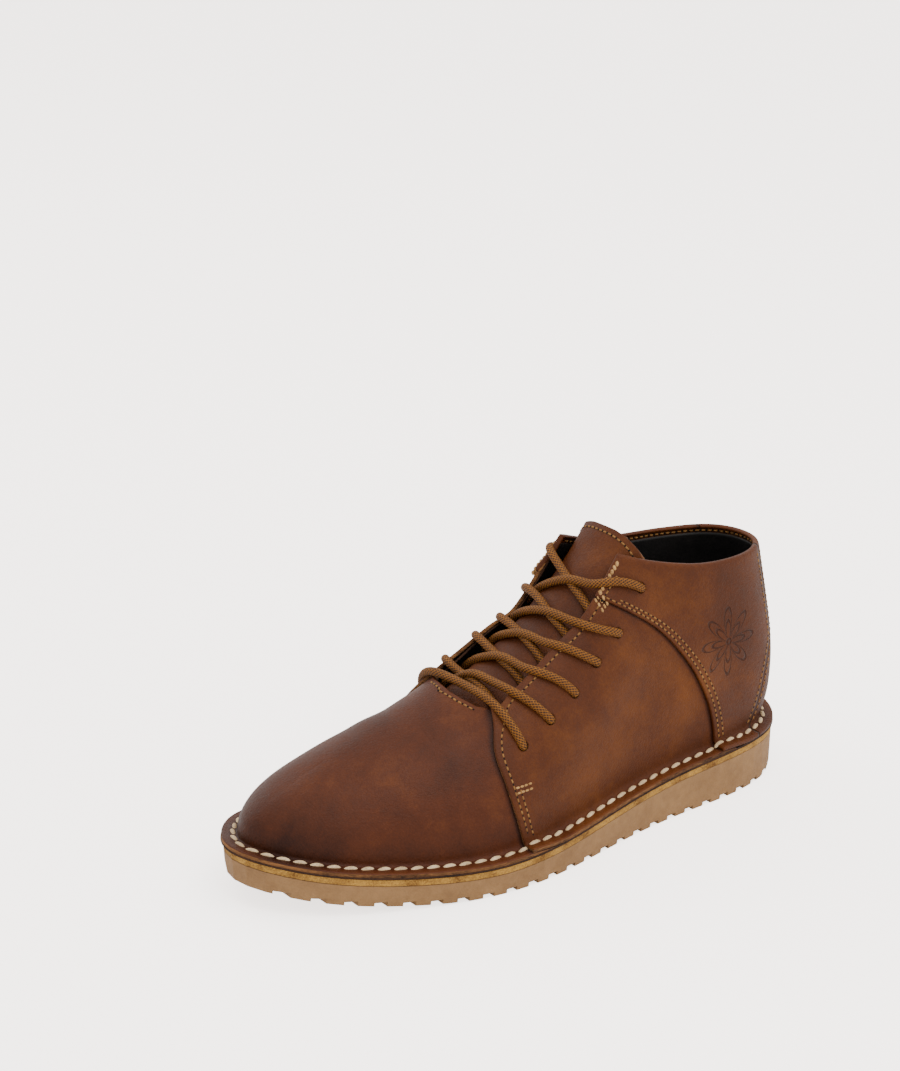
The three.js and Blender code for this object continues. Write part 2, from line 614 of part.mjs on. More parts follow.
function makeCrossing(k) {
  const { cross, across, outerOver, innerOver, outerUnder, innerUnder } = holes[k];
  const strands = [-1, 1].map((side) => {
    const under = side < 0 ? innerUnder : outerUnder;
    const over = side < 0 ? outerOver : innerOver;
    const top = side < 0 ? LACE - 1 : GAP;
    return tube([
      overQuarter(side, k, 0),
      overQuarter(side, k, 0.5),
      overQuarter(side, k, 1),
      overTongue(mix(side, across, 0.5), xAt(mix(over, cross, 0.5)), laceLift(k) + top + 1),
      overTongue(across, xAt(cross), LACE_REST + top),
      overTongue(side * -0.45, xAt(mix(cross, under, 0.6)), LACE_REST + GAP),
      overTongue(side * -0.72, xAt(under), LACE_REST),
    ], LACE, 7, 10);
  });
  return strands[0].add(strands[1]);
}

function makeBar() {
  const last = holes.length - 1;
  const half = (side) => [0, 0.5, 1].map((share) => overQuarter(side, last, share));
  const middle = mix(holes[last].outerOver, holes[last].innerOver, 0.5);
  return tube([...half(-1), overTongue(0, xAt(middle), 2 * LACE), ...half(1).reverse()],
    LACE, 7, 16);
}

const pieces = {
  outsole: [makeOutsole(), 0xa8865f, 0.85],
  midsole: [makeMidsole(), 0xc79b57, 0.8],
  upper: [makeUpper(), 0x7a4526, 0.6],
  insole: [makeInsole(), 0x2a2422, 0.9],
  tongue: [makeTongue(), 0x74401f, 0.6],
  heel_tab: [makeHeelTab(), 0x2b1a12, 0.7],
  lace_bar: [makeBar(), 0x9a6222, 0.8],
};
for (let k = 0; k + 1 < holes.length; k++) {
  pieces[`lace_crossing_${k + 1}`] = [makeCrossing(k), 0x9a6222, 0.8];
}

const boot = new THREE.Group();
boot.name = 'chukka_boot';
for (const [name, [solid, color, roughness]] of Object.entries(pieces)) {
  const material = new THREE.MeshStandardMaterial({ color, roughness, metalness: 0 });
  const mesh = new THREE.Mesh(toGeometry(solid), material);
  mesh.name = name;
  boot.add(mesh);
}

export default boot;
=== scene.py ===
import bpy
import numpy as np
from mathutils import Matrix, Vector

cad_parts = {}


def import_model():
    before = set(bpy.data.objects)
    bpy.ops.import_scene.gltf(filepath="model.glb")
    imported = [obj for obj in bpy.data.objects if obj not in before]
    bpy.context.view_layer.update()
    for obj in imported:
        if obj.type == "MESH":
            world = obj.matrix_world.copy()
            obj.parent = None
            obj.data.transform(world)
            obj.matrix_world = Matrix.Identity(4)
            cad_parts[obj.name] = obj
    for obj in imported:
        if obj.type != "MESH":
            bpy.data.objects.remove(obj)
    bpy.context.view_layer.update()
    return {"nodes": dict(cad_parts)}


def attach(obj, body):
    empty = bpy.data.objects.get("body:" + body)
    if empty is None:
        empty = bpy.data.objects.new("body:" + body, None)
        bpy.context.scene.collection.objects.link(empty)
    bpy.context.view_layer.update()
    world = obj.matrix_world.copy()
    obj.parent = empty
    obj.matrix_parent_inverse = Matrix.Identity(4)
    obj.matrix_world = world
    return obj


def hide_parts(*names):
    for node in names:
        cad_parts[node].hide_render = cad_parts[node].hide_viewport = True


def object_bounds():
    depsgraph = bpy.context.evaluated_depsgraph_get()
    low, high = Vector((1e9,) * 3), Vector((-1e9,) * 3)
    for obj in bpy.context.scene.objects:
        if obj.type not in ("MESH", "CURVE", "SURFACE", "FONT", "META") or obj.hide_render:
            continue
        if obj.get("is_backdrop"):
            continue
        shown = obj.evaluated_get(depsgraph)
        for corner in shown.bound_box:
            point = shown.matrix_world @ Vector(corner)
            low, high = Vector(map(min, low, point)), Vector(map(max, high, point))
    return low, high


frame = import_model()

# Camera, light and floor. The boot is seen on its outer side, from ahead and above. It stands on a plain
# pale floor, under one broad soft light with a weaker one from each side, in a pale room.
CAMERA_PLACE = (-0.6340, -0.7887, 0.5098)
CAMERA_AIM = (0.5657, 0.7507, -0.3414)
CAMERA_LENS = 80.67

camera_data = bpy.data.cameras.new("photo_camera")
camera_data.lens = CAMERA_LENS
camera_data.sensor_width = 36
camera_data.clip_end = 60
camera = bpy.data.objects.new("photo_camera", camera_data)
camera.location = CAMERA_PLACE
camera.rotation_euler = Vector(CAMERA_AIM).to_track_quat("-Z", "Y").to_euler()
bpy.context.scene.collection.objects.link(camera)
bpy.context.scene.camera = camera


def soft_light(name, place, target, size, power, colour):
    """A square area light at place that faces target."""
    data = bpy.data.lights.new(name, "AREA")
    data.size, data.energy, data.color = size, power, colour
    light = bpy.data.objects.new(name, data)
    light.location = place
    aim = Vector(target) - Vector(place)
    light.rotation_euler = aim.to_track_quat("-Z", "Y").to_euler()
    bpy.context.scene.collection.objects.link(light)


soft_light("key_light", (0.1, -0.6, 1.6), (0, 0, 0.03), 1.2, 22, (1.0, 0.985, 0.965))
soft_light("side_light", (0.8, -1.4, 0.8), (0, 0, 0.05), 1.2, 3, (1.0, 0.98, 0.96))
soft_light("back_light", (-0.3, 1.5, 1.2), (0, 0, 0.05), 1.2, 8, (0.97, 0.985, 1.0))

world = bpy.data.worlds.new("pale_room")
world.use_nodes = True
world.node_tree.nodes["Background"].inputs["Color"].default_value = (0.95, 0.94, 0.93, 1)
world.node_tree.nodes["Background"].inputs["Strength"].default_value = 1.7
bpy.context.scene.world = world

FLOOR_HALF = 9
FLOOR_GLOW = 2.6    # seen by the camera only, so that the floor lights nothing
floor_mesh = bpy.data.meshes.new("floor")
floor_mesh.from_pydata([(-FLOOR_HALF, -FLOOR_HALF, 0), (FLOOR_HALF, -FLOOR_HALF, 0),
                        (FLOOR_HALF, FLOOR_HALF, 0), (-FLOOR_HALF, FLOOR_HALF, 0)], [], [(0, 1, 2, 3)])
floor = bpy.data.objects.new("floor", floor_mesh)
bpy.context.scene.collection.objects.link(floor)
floor_paint = bpy.data.materials.new("floor_paint")
floor_paint.use_nodes = True
floor_shader = floor_paint.node_tree.nodes["Principled BSDF"]
floor_shader.inputs["Base Color"].default_value = (0.90, 0.872, 0.85, 1)
floor_shader.inputs["Roughness"].default_value = 0.9
floor_shader.inputs["Emission Color"].default_value = (1.0, 0.915, 0.865, 1)
seen = floor_paint.node_tree.nodes.new("ShaderNodeLightPath")
glow = floor_paint.node_tree.nodes.new("ShaderNodeMath")
glow.operation = "MULTIPLY"
glow.inputs[1].default_value = FLOOR_GLOW
floor_paint.node_tree.links.new(seen.outputs["Is Camera Ray"], glow.inputs[0])
floor_paint.node_tree.links.new(glow.outputs[0], floor_shader.inputs["Emission Strength"])
floor_mesh.materials.append(floor_paint)
floor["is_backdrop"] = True

# Vamp: the leather over the toes and the front of the foot, oiled brown hide 1.8 mm thick, cut in one
# piece. It is pulled over the last, turned out at the foot into a flange that is stitched down on the
# midsole, and runs back as a thinned allowance under the front quarters. Sizes are in millimetres.
LENGTH, BALL_WIDTH, HEEL_WIDTH = 299, 106.5, 80
HEEL_STACK, BALL_STACK, TOE_SPRING, HEEL_BEVEL = 26.2, 16.4, 12, 2
COLLAR_HEIGHT, INSTEP_HEIGHT, ANKLE_WIDTH = 120, 77, 61
RIDGE_SWING, ANKLE_SWING, FLANGE = 6, 3, 7.5
LEATHER = 1.8
MM = 0.001

# The last is worked out from the outline of the sole, the ridge from leg to toe, and the wall between
# them, a cubic curve from the flange up to the ridge. Its stations count once round from the heel: the
# outer side up to the toe and the inner side back.
# columns: outer along, outer share of width, inner along, inner share of width
PLAN = np.array([
    (0.000, 0.025, 0.000, -0.025), (0.018, 0.268, 0.017, 0.213), (0.067, 0.450, 0.064, 0.381),
    (0.158, 0.544, 0.151, 0.456), (0.268, 0.548, 0.262, 0.432), (0.383, 0.524, 0.369, 0.377),
    (0.490, 0.527, 0.477, 0.364), (0.597, 0.540, 0.584, 0.413), (0.698, 0.512, 0.691, 0.465),
    (0.795, 0.423, 0.792, 0.480), (0.886, 0.305, 0.886, 0.450), (0.956, 0.150, 0.958, 0.325),
    (1.000, -0.085, 1.000, 0.085)])
# columns: along, half as a share of the ankle, low share of instep height, high share of collar
CREST = np.array([
    (0.052, 0.00, 0.00, 1.250), (0.062, 0.21, 0.00, 1.250), (0.100, 0.39, 0.00, 1.250),
    (0.178, 0.50, 0.00, 1.250), (0.282, 0.44, 0.00, 1.250), (0.349, 0.18, 0.00, 1.240),
    (0.409, 0.00, 0.35, 0.833), (0.517, 0.00, 0.75, 0.327), (0.624, 0.00, 1.00, 0.000),
    (0.705, 0.00, 0.90, 0.000), (0.775, 0.00, 0.82, 0.000), (0.826, 0.00, 0.76, 0.000),
    (0.846, 0.00, 0.73, 0.000)])
# columns: outer lean, inner lean, rise, outer crown, inner crown, drop
WALLS = np.array([
    (30, 30, 0.26, 0.33, 0.33, 90), (30, 28, 0.26, 0.33, 0.33, 90), (19, 14, 0.28, 0.33, 0.33, 90),
    (5, 5, 0.33, 0.33, 0.33, 90), (3, 2, 0.33, 0.33, 0.35, 88), (2, 0, 0.34, 0.33, 0.38, 58),
    (3, 0, 0.36, 0.36, 0.41, 14), (5, 2, 0.38, 0.36, 0.40, 2), (7, 4, 0.36, 0.35, 0.37, 0),
    (8, 5, 0.34, 0.34, 0.34, 0), (10, 6, 0.33, 0.33, 0.33, 0), (11, 9, 0.33, 0.33, 0.33, 0),
    (12, 12, 0.33, 0.33, 0.33, 0)])
TOE = len(PLAN) - 1
LOOP = 2 * TOE


def loop_spline(outer, inner):
    """A cubic spline once round the boot: the outer values from heel to toe, the inner ones back."""
    values = np.concatenate([outer, inner[1:-1][::-1]])
    n = len(values)
    turn = np.eye(n)
    bend = np.linalg.solve(4 * turn + np.roll(turn, 1, 0) + np.roll(turn, -1, 0),
                           6 * (np.roll(values, 1) - 2 * values + np.roll(values, -1)))

    def at(station):
        """The spline's value at a station: the cubic through its two nearest values."""
        place = np.mod(station, n)
        i = np.floor(place).astype(int) % n
        j = (i + 1) % n
        b = place - np.floor(place)
        a = 1 - b
        return a * values[i] + b * values[j] + ((a**3 - a) * bend[i] + (b**3 - b) * bend[j]) / 6
    return at


def smooth(x, start, end):
    """Rises from 0 at start to 1 at end, level at both."""
    t = np.clip((x - start) / (end - start), 0, 1)
    return t * t * (3 - 2 * t)


def share_at(x):
    """How far along the boot x lies: 0 at the heel and 1 at the toe."""
    return 0.5 - x / LENGTH


def x_at(share):
    """The x at a share of the length, from half the length at the heel to minus that at the toe."""
    return LENGTH * (0.5 - share)


def width_at(share):
    """Width of the sole at a share of its length, rising from the heel to the ball."""
    return HEEL_WIDTH + (BALL_WIDTH - HEEL_WIDTH) * smooth(share, 0.2, 0.6)


def floor_at(x):
    """Height of the tread: level, with a small lift at the heel's end and the spring of the toe."""
    share = share_at(x)
    return (HEEL_BEVEL * np.maximum(0, 1 - share / 0.1) ** 2
            + TOE_SPRING * np.maximum(0, (share - 0.66) / 0.34) ** 1.9)


def flange_at(x):
    """Height of the flange's top face, which falls from the heel to the ball of the foot."""
    return floor_at(x) + HEEL_STACK + (BALL_STACK - HEEL_STACK) * smooth(share_at(x), 0.12, 0.68)


def middle_at(share):
    """Where the ridge lies across the boot at a share of its length, swinging from leg to toe."""
    return -ANKLE_SWING + (RIDGE_SWING + ANKLE_SWING) * smooth(share, 0.1, 0.85)


plan_x = loop_spline(LENGTH * (0.5 - PLAN[:, 0]), LENGTH * (0.5 - PLAN[:, 2]))
plan_y = loop_spline(-PLAN[:, 1] * width_at(PLAN[:, 0]), PLAN[:, 3] * width_at(PLAN[:, 2]))
around = plan_y(LOOP * np.arange(240) / 240)
SHIFT = -(around.min() + around.max()) / 2
crest_x = loop_spline(x_at(CREST[:, 0]), x_at(CREST[:, 0]))
crest_half = loop_spline(-CREST[:, 1] * ANKLE_WIDTH, CREST[:, 1] * ANKLE_WIDTH)
crest_heights = CREST[:, 2] * INSTEP_HEIGHT + CREST[:, 3] * COLLAR_HEIGHT
crest_z = loop_spline(crest_heights, crest_heights)
lean_at = loop_spline(WALLS[:, 0], WALLS[:, 1])
rise_at = loop_spline(WALLS[:, 2], WALLS[:, 2])
crown_at = loop_spline(WALLS[:, 3], WALLS[:, 4])
drop_at = loop_spline(WALLS[:, 5], WALLS[:, 5])


def outline(station, inset):
    """The sole's outline moved inwards: x, y and the outward direction at each station."""
    step = 0.02
    dx = plan_x(station + step) - plan_x(station - step)
    dy = plan_y(station + step) - plan_y(station - step)
    size = np.hypot(dx, dy)
    out = np.stack([-dy / size, dx / size], -1)
    place = np.stack([plan_x(station), plan_y(station) + SHIFT], -1) - inset[..., None] * out
    return place, out


def wall_point(station, t):
    """The outside of the upper: t runs from the flange at 0 to the ridge or the leg's top at 1."""
    station, t = np.broadcast_arrays(np.asarray(station, float), np.asarray(t, float))
    place, out = outline(station, np.full(station.shape, float(FLANGE)))
    foot = np.concatenate([place, flange_at(place[..., :1])], -1)
    turned = np.mod(station, LOOP)
    side = np.where(turned < TOE, -1, 1)
    half = np.maximum(0, side * crest_half(turned))
    top_x = crest_x(turned)
    top = np.stack([top_x, SHIFT + middle_at(share_at(top_x)) + side * half, crest_z(turned)], -1)
    reach = np.linalg.norm(foot - top, axis=-1)[..., None]
    lean = np.radians(lean_at(turned))[..., None]
    low = foot + reach * rise_at(turned)[..., None] * np.concatenate(
        [out * np.sin(lean), np.cos(lean)], -1)
    near = np.minimum(turned, LOOP - turned)
    slope = (crest_z(near) - crest_z(near - 0.35)) / (crest_x(near) - crest_x(near - 0.35))
    flat = (foot - top)[..., :2]
    flat = flat / np.linalg.norm(flat, axis=-1)[..., None]
    flat = np.concatenate([flat, (slope * flat[..., 0])[..., None]], -1)
    drop = np.radians(np.clip(drop_at(turned), 0, 90))[..., None]
    down = np.array([0, 0, -1.0])
    high = top + reach * crown_at(turned)[..., None] * (flat * np.cos(drop) + down * np.sin(drop))
    a, b = 1 - t[..., None], t[..., None]
    return a**3 * foot + 3 * a * a * b * low + 3 * a * b * b * high + b**3 * top


TURN = 2.6          # radius with which the leather turns out into the flange
TURN_T = 0.035      # share of the wall that the turn takes
TURN_W = -0.45      # where the turn starts, on the flange's -1 to 0


def leather_point(station, w):
    """The leather's outer face: w is -1 at the flange's edge, 0 where the turn ends, 1 at the ridge."""
    station, w = np.broadcast_arrays(np.asarray(station, float), np.asarray(w, float))
    wall = wall_point(station, TURN_T + (1 - TURN_T) * np.clip(w, 0, 1))
    out_share = np.clip((w + 1) / (1 + TURN_W), 0, 1)
    place, _ = outline(station, (FLANGE - TURN) * out_share)
    flat = np.concatenate([place, flange_at(place[..., :1])], -1)
    place, _ = outline(station, np.full(station.shape, float(FLANGE)))
    corner = np.concatenate([place, flange_at(place[..., :1])], -1)
    b = np.clip((w - TURN_W) / -TURN_W, 0, 1)[..., None]
    turn = (1 - b) ** 2 * flat + 2 * b * (1 - b) * corner + b * b * wall
    return np.where((w <= TURN_W)[..., None], flat, np.where((w < 0)[..., None], turn, wall))


# The vamp's rear edge follows the front quarters' front edge, drawn in the side view of the last, and
# across the tongue's root it follows a line drawn from above.
# columns: along, height above the floor
FRONT_EDGE = np.array([(0.612, 13.9), (0.626, 29.3), (0.635, 46.2), (0.633, 58.5), (0.612, 69.3)])
# columns: distance from the throat's middle, x
VAMP_REAR = np.array([(0, -38.6), (7.3, -37.7), (15.8, -35.3), (21.5, -31), (29, -20)])
THROAT_SWING = 2        # how far the throat's middle lies towards the inner side
VAMP_UNDERLAP = 14      # how far the vamp runs on under the front quarters
SKIVE = 0.11            # how much an allowance thins for each millimetre that it is covered


def through(places, values):
    """A smooth line through values at rising places, straight beyond both ends."""
    order = np.argsort(places)
    p, v = np.asarray(places, float)[order], np.asarray(values, float)[order]
    slope = np.gradient(v, p)

    def at(x):
        """The line's value at x: the cubic with both slopes, plus the straight parts beyond."""
        x = np.asarray(x, float)
        i = np.clip(np.searchsorted(p, x) - 1, 0, len(p) - 2)
        h = p[i + 1] - p[i]
        t = np.clip((x - p[i]) / h, 0, 1)
        line = ((1 + 2 * t) * (1 - t) ** 2 * v[i] + t * (1 - t) ** 2 * h * slope[i]
                + t * t * (3 - 2 * t) * v[i + 1] + t * t * (t - 1) * h * slope[i + 1])
        return line + np.minimum(x - p[0], 0) * slope[0] + np.maximum(x - p[-1], 0) * slope[-1]
    return at


front_x = through(FRONT_EDGE[:, 1], x_at(FRONT_EDGE[:, 0]))


def halve(low, high, above):
    """Where above(x) turns from true at low to false at high, for whole arrays at once."""
    low, high = np.array(low, float), np.array(high, float)
    for _ in range(26):
        middle = (low + high) / 2
        yes = above(middle)
        low, high = np.where(yes, middle, low), np.where(yes, high, middle)
    return low


def vamp_edge_x(p):
    """The vamp's rear edge: the root's line, or the seam and its allowance where that lies ahead."""
    half = np.abs(p[:, 1] - THROAT_SWING)
    return np.minimum(np.interp(half, *VAMP_REAR.T), front_x(p[:, 2]) + VAMP_UNDERLAP)


def edge_station(side, edge_x, w):
    """The station at each w where the leather's x is the edge's x, by halving from heel to toe."""
    start = np.full(len(w), 0.2 if side < 0 else LOOP - 0.2)
    end = np.full(len(w), float(TOE))

    def behind(station):
        """Whether the leather's point lies nearer the heel than the edge."""
        p = leather_point(station, w)
        return p[:, 0] > edge_x(p)
    return halve(start, end, behind)


# Creases, placed where a worn boot bends: soft troughs with low ridges beside them.
# columns: side, x, height, length, width, depth, slant in degrees
CREASES = [
    (-1, -50, 52, 52, 11, 0.7, 62), (-1, -68, 44, 48, 12, 0.6, 70), (-1, -40, 34, 40, 12, 0.5, 50),
    (1, -52, 50, 52, 11, 0.7, 118), (1, -70, 42, 46, 12, 0.6, 112),
    (-1, 20, 84, 60, 13, 0.7, 35), (-1, 52, 66, 70, 15, 0.8, 20), (-1, 84, 88, 55, 13, 0.6, 8),
    (-1, 104, 62, 60, 14, 0.7, -12), (-1, 12, 48, 60, 16, 0.5, 25),
    (1, 24, 84, 60, 13, 0.7, 145), (1, 58, 64, 70, 15, 0.8, 160), (1, 96, 78, 60, 14, 0.7, 178)]


def crease(p):
    """Outward push of the creases at points on the leather."""
    push = np.zeros(p.shape[:-1])
    for side, x, z, length, width, depth, slant in CREASES:
        turn = np.radians(slant)
        dx, dz = p[..., 0] - x, p[..., 2] - z
        along = dx * np.cos(turn) + dz * np.sin(turn)
        across = -dx * np.sin(turn) + dz * np.cos(turn)
        across = across + 0.004 * along * along * np.sign(x)
        here = np.exp(-(along / length * 2) ** 2) * smooth(side * (p[..., 1] - THROAT_SWING), -2, 12)
        push += here * depth * (0.5 * np.exp(-((across - width * 0.8) / width) ** 2)
                                + 0.5 * np.exp(-((across + width * 0.8) / width) ** 2)
                                - np.exp(-(across / width * 1.6) ** 2))
    return push * smooth(p[..., 2], 24, 40)


# The values of w at which the grid's lines cross the flange and its turn.
LOW_W = np.array([-1, -0.94, -0.8, -0.62, -0.5, -0.42, -0.34, -0.27, -0.2, -0.13, -0.06])


def steps(count, length, rounding=0.45):
    """Even shares from 0 to 1, with a close first and last one for the rounded edges."""
    edge = rounding / length
    return np.concatenate([[0], np.linspace(edge, 1 - edge, count), [1]])


def panel(left, right, left_top, right_top, top, u, v):
    """Station and w of a panel: between two seams, from the flange's edge up to a top line."""
    low_left, low_right = left(LOW_W), right(LOW_W)
    low = low_left[:, None] * (1 - u) + low_right[:, None] * u
    low = np.stack([low, np.broadcast_to(LOW_W[:, None], low.shape)], -1)
    w = left_top * v
    left_line = np.stack([left(w), w], -1)
    w = right_top * v
    right_line = np.stack([right(w), w], -1)
    bottom = np.stack([left_line[0, 0] * (1 - u) + right_line[0, 0] * u, 0 * u], -1)
    a, b = u[None, :, None], v[:, None, None]
    corners = (1 - b) * ((1 - a) * bottom[0] + a * bottom[-1]) + b * ((1 - a) * top[0] + a * top[-1])
    high = ((1 - b) * bottom[None] + b * top[None] + (1 - a) * left_line[:, None]
            + a * right_line[:, None] - corners)
    return np.concatenate([low, high])


def directions(points):
    """Outward directions of a grid of points, from its own neighbours."""
    up, along = np.gradient(points, axis=0), np.gradient(points, axis=1)
    normal = np.cross(up, along)
    return normal / np.maximum(np.linalg.norm(normal, axis=-1), 1e-9)[..., None]


def mend_pole(normal, points, pole):
    """Evens out the directions near the ridge's end, where the grid's lines run together."""
    far = np.linalg.norm(points - pole, axis=-1)
    mean = normal[(far > 5) & (far < 8)].mean(0)
    share = smooth(far, 6.5, 4.0)[..., None]
    normal += share * (mean / np.linalg.norm(mean) - normal)
    normal /= np.linalg.norm(normal, axis=-1)[..., None]


def new_mesh(name, points, faces, materials=(), marks=None):
    """A mesh object from millimetre points and four-cornered faces."""
    used = np.unique(faces)
    renumber = np.zeros(len(points), int)
    renumber[used] = np.arange(len(used))
    points, faces = points[used], renumber[faces]
    mesh = bpy.data.meshes.new(name)
    mesh.vertices.add(len(points))
    mesh.vertices.foreach_set("co", (points * MM).astype(np.float32).ravel())
    mesh.loops.add(faces.size)
    mesh.loops.foreach_set("vertex_index", faces.astype(np.int32).ravel())
    mesh.polygons.add(len(faces))
    mesh.polygons.foreach_set("loop_start", np.arange(0, faces.size, faces.shape[1], dtype=np.int32))
    mesh.update(calc_edges=True)
    for label, values in (marks or {}).items():
        mesh.attributes.new(label, "FLOAT", "POINT").data.foreach_set(
            "value", np.asarray(values, np.float32)[used])
    for material in materials:
        mesh.materials.append(material)
    piece = bpy.data.objects.new(name, mesh)
    bpy.context.scene.collection.objects.link(piece)
    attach(piece, "root")
    return piece


def grid_faces(rows, columns, keep=None):
    """Four-cornered faces between the neighbouring points of a grid, or those that keep marks."""
    i, j = np.meshgrid(np.arange(rows - 1), np.arange(columns - 1), indexing="ij")
    if keep is not None:
        i, j = i[keep], j[keep]
    corner = (i * columns + j).ravel()
    return np.stack([corner, corner + columns, corner + columns + 1, corner + 1], -1)


def shell(name, points, outer, inner, materials, keep=None, marks=None, fold=False, turned=0):
    """A closed sheet with an outer face, an inner face and rims round its edge and its holes.

    outer and inner are the distances of the two faces from the grid of points. Where fold is set, the
    last row is closed on itself over the ridge. The top turned rows of the inner face have the outer
    face's material, where the leather is turned in."""
    rows, columns = points.shape[:2]
    normal = directions(points)
    if fold:
        both = normal[-1] + normal[-1][::-1]
        normal[-1] = both / np.linalg.norm(both, axis=-1)[:, None]
        mend_pole(normal, points, points[-1, columns // 2])
    count = rows * columns
    above = (points + normal * outer[..., None]).reshape(-1, 3)
    below = (points + normal * inner[..., None]).reshape(-1, 3)
    top = grid_faces(rows, columns, keep)
    if fold:
        swap = np.arange(count)
        last = (rows - 1) * columns + np.arange(columns)
        swap[last] = np.minimum(last, last[::-1])
        top = swap[top]
    edges = np.concatenate([top[:, [k, (k + 1) % 4]] for k in range(4)])
    key = np.sort(edges, axis=1)
    key = key[:, 0] * count + key[:, 1]
    _, first, times = np.unique(key, return_index=True, return_counts=True)
    rim = edges[first[times == 1]]
    rim = rim[rim[:, 0] != rim[:, 1]]
    rim_faces = np.stack([rim[:, 1], rim[:, 0], rim[:, 0] + count, rim[:, 1] + count], -1)
    faces = np.concatenate([top, top[:, ::-1] + count, rim_faces])
    marks = {label: np.concatenate([values.ravel(), values.ravel()])
             for label, values in (marks or {}).items()}
    piece = new_mesh(name, np.concatenate([above, below]), faces, materials, marks)
    inside = top[:, 0] // columns < rows - 1 - turned
    kinds = np.concatenate([np.zeros(len(top)), inside, np.full(len(rim_faces), 2)])
    piece.data.polygons.foreach_set(
        "material_index", np.minimum(kinds, len(materials) - 1).astype(np.int32))
    return piece


def edge_rounding(rows, columns, depth=0.4, sides="ltrb"):
    """How far the outer face sinks along the outermost lines of a grid."""
    sink = np.zeros((rows, columns))
    for mark, line in (("l", np.s_[:, 0]), ("r", np.s_[:, -1]), ("b", np.s_[0]), ("t", np.s_[-1])):
        if mark in sides:
            sink[line] = depth
    return sink


def ease_ridge(points, reach=40, passes=320):
    """Rounds the leather over the ridge, where the two sides of the grid meet.

    Each point moves along its own direction towards the mean of its four neighbours, again and again."""
    rows = len(points)
    whole = np.concatenate([points, points[-2::-1, ::-1]])
    near = 1 - smooth(np.abs(np.arange(len(whole)) - (rows - 1)), 8, reach)
    share = 0.6 * near[1:-1, None, None]
    for turn in range(passes):
        if turn % 20 == 0:
            out = directions(whole)
            mend_pole(out, whole, whole[rows - 1, whole.shape[1] // 2])
            out = out[1:-1, 1:-1]
        mean = (whole[:-2, 1:-1] + whole[2:, 1:-1] + whole[1:-1, :-2] + whole[1:-1, 2:]) / 4
        move = mean - whole[1:-1, 1:-1]
        whole[1:-1, 1:-1] += share * np.sum(move * out, -1)[..., None] * out
    return whole[:rows]


def knot(tree, kind, settings=None, **inputs):
    """A shader node, with its settings and with values or links for its inputs, by name or _number."""
    new = tree.nodes.new(kind)
    for label, value in (settings or {}).items():
        setattr(new, label, value)
    for label, value in inputs.items():
        socket = new.inputs[int(label[1:])] if label[0] == "_" else new.inputs[label.replace("_", " ")]
        if isinstance(value, bpy.types.NodeSocket):
            tree.links.new(value, socket)
        else:
            socket.default_value = value
    return new


def maths(tree, operation, *values, clamp=False):
    """One sum on shader values: operation applied to the values in order."""
    return knot(tree, "ShaderNodeMath", {"operation": operation, "use_clamp": clamp},
                **{f"_{k}": value for k, value in enumerate(values)}).outputs[0]


def cloud(tree, place, scale, detail=4.0, rough=0.55, twist=0.0):
    """Noise whose patches are about 1 / scale metres wide."""
    return knot(tree, "ShaderNodeTexNoise", Vector=place, Scale=scale, Detail=detail,
                Roughness=rough, Distortion=twist).outputs["Fac"]


def band(tree, value, low, high):
    """0 below low, 1 above high, smooth between; high may be below low."""
    new = knot(tree, "ShaderNodeMapRange", {"interpolation_type": "SMOOTHSTEP"}, _0=value,
               _1=low, _2=high, _3=0.0, _4=1.0)
    return new.outputs[0]


def ramp(tree, value, *stops):
    """A colour for each value, even between the stops of place and colour."""
    new = knot(tree, "ShaderNodeValToRGB", Fac=value)
    elements = new.color_ramp.elements
    while len(elements) < len(stops):
        elements.new(0.5)
    for element, (place, colour) in zip(elements, stops):
        element.position = place
        element.color = (*colour, 1)
    return new.outputs["Color"]


def blend(tree, share, first, second, kind="MIX"):
    """The first colour at share 0 and the second at share 1, mixed evenly between."""
    new = knot(tree, "ShaderNodeMix", {"data_type": "RGBA", "blend_type": kind}, _0=share)
    for socket, value in ((new.inputs[6], first), (new.inputs[7], second)):
        if isinstance(value, bpy.types.NodeSocket):
            tree.links.new(value, socket)
        else:
            socket.default_value = (*value, 1)
    return new.outputs[2]


def bump(tree, height, depth, strength=1.0, before=None):
    """A normal tilted by the slope of height times depth, laid on the normal before it."""
    new = knot(tree, "ShaderNodeBump", Height=height, Distance=depth, Strength=strength)
    if before is not None:
        tree.links.new(before, new.inputs["Normal"])
    return new.outputs["Normal"]


def start(name):
    """A new material with its node tree, its main shader and the object's own coordinates in metres."""
    material = bpy.data.materials.new(name)
    material.use_nodes = True
    tree = material.node_tree
    place = tree.nodes.new("ShaderNodeTexCoord").outputs["Object"]
    return material, tree, tree.nodes["Principled BSDF"], place


def mark(tree, name):
    """The values that a mesh carries under a name."""
    return knot(tree, "ShaderNodeAttribute", {"attribute_name": name}).outputs["Fac"]


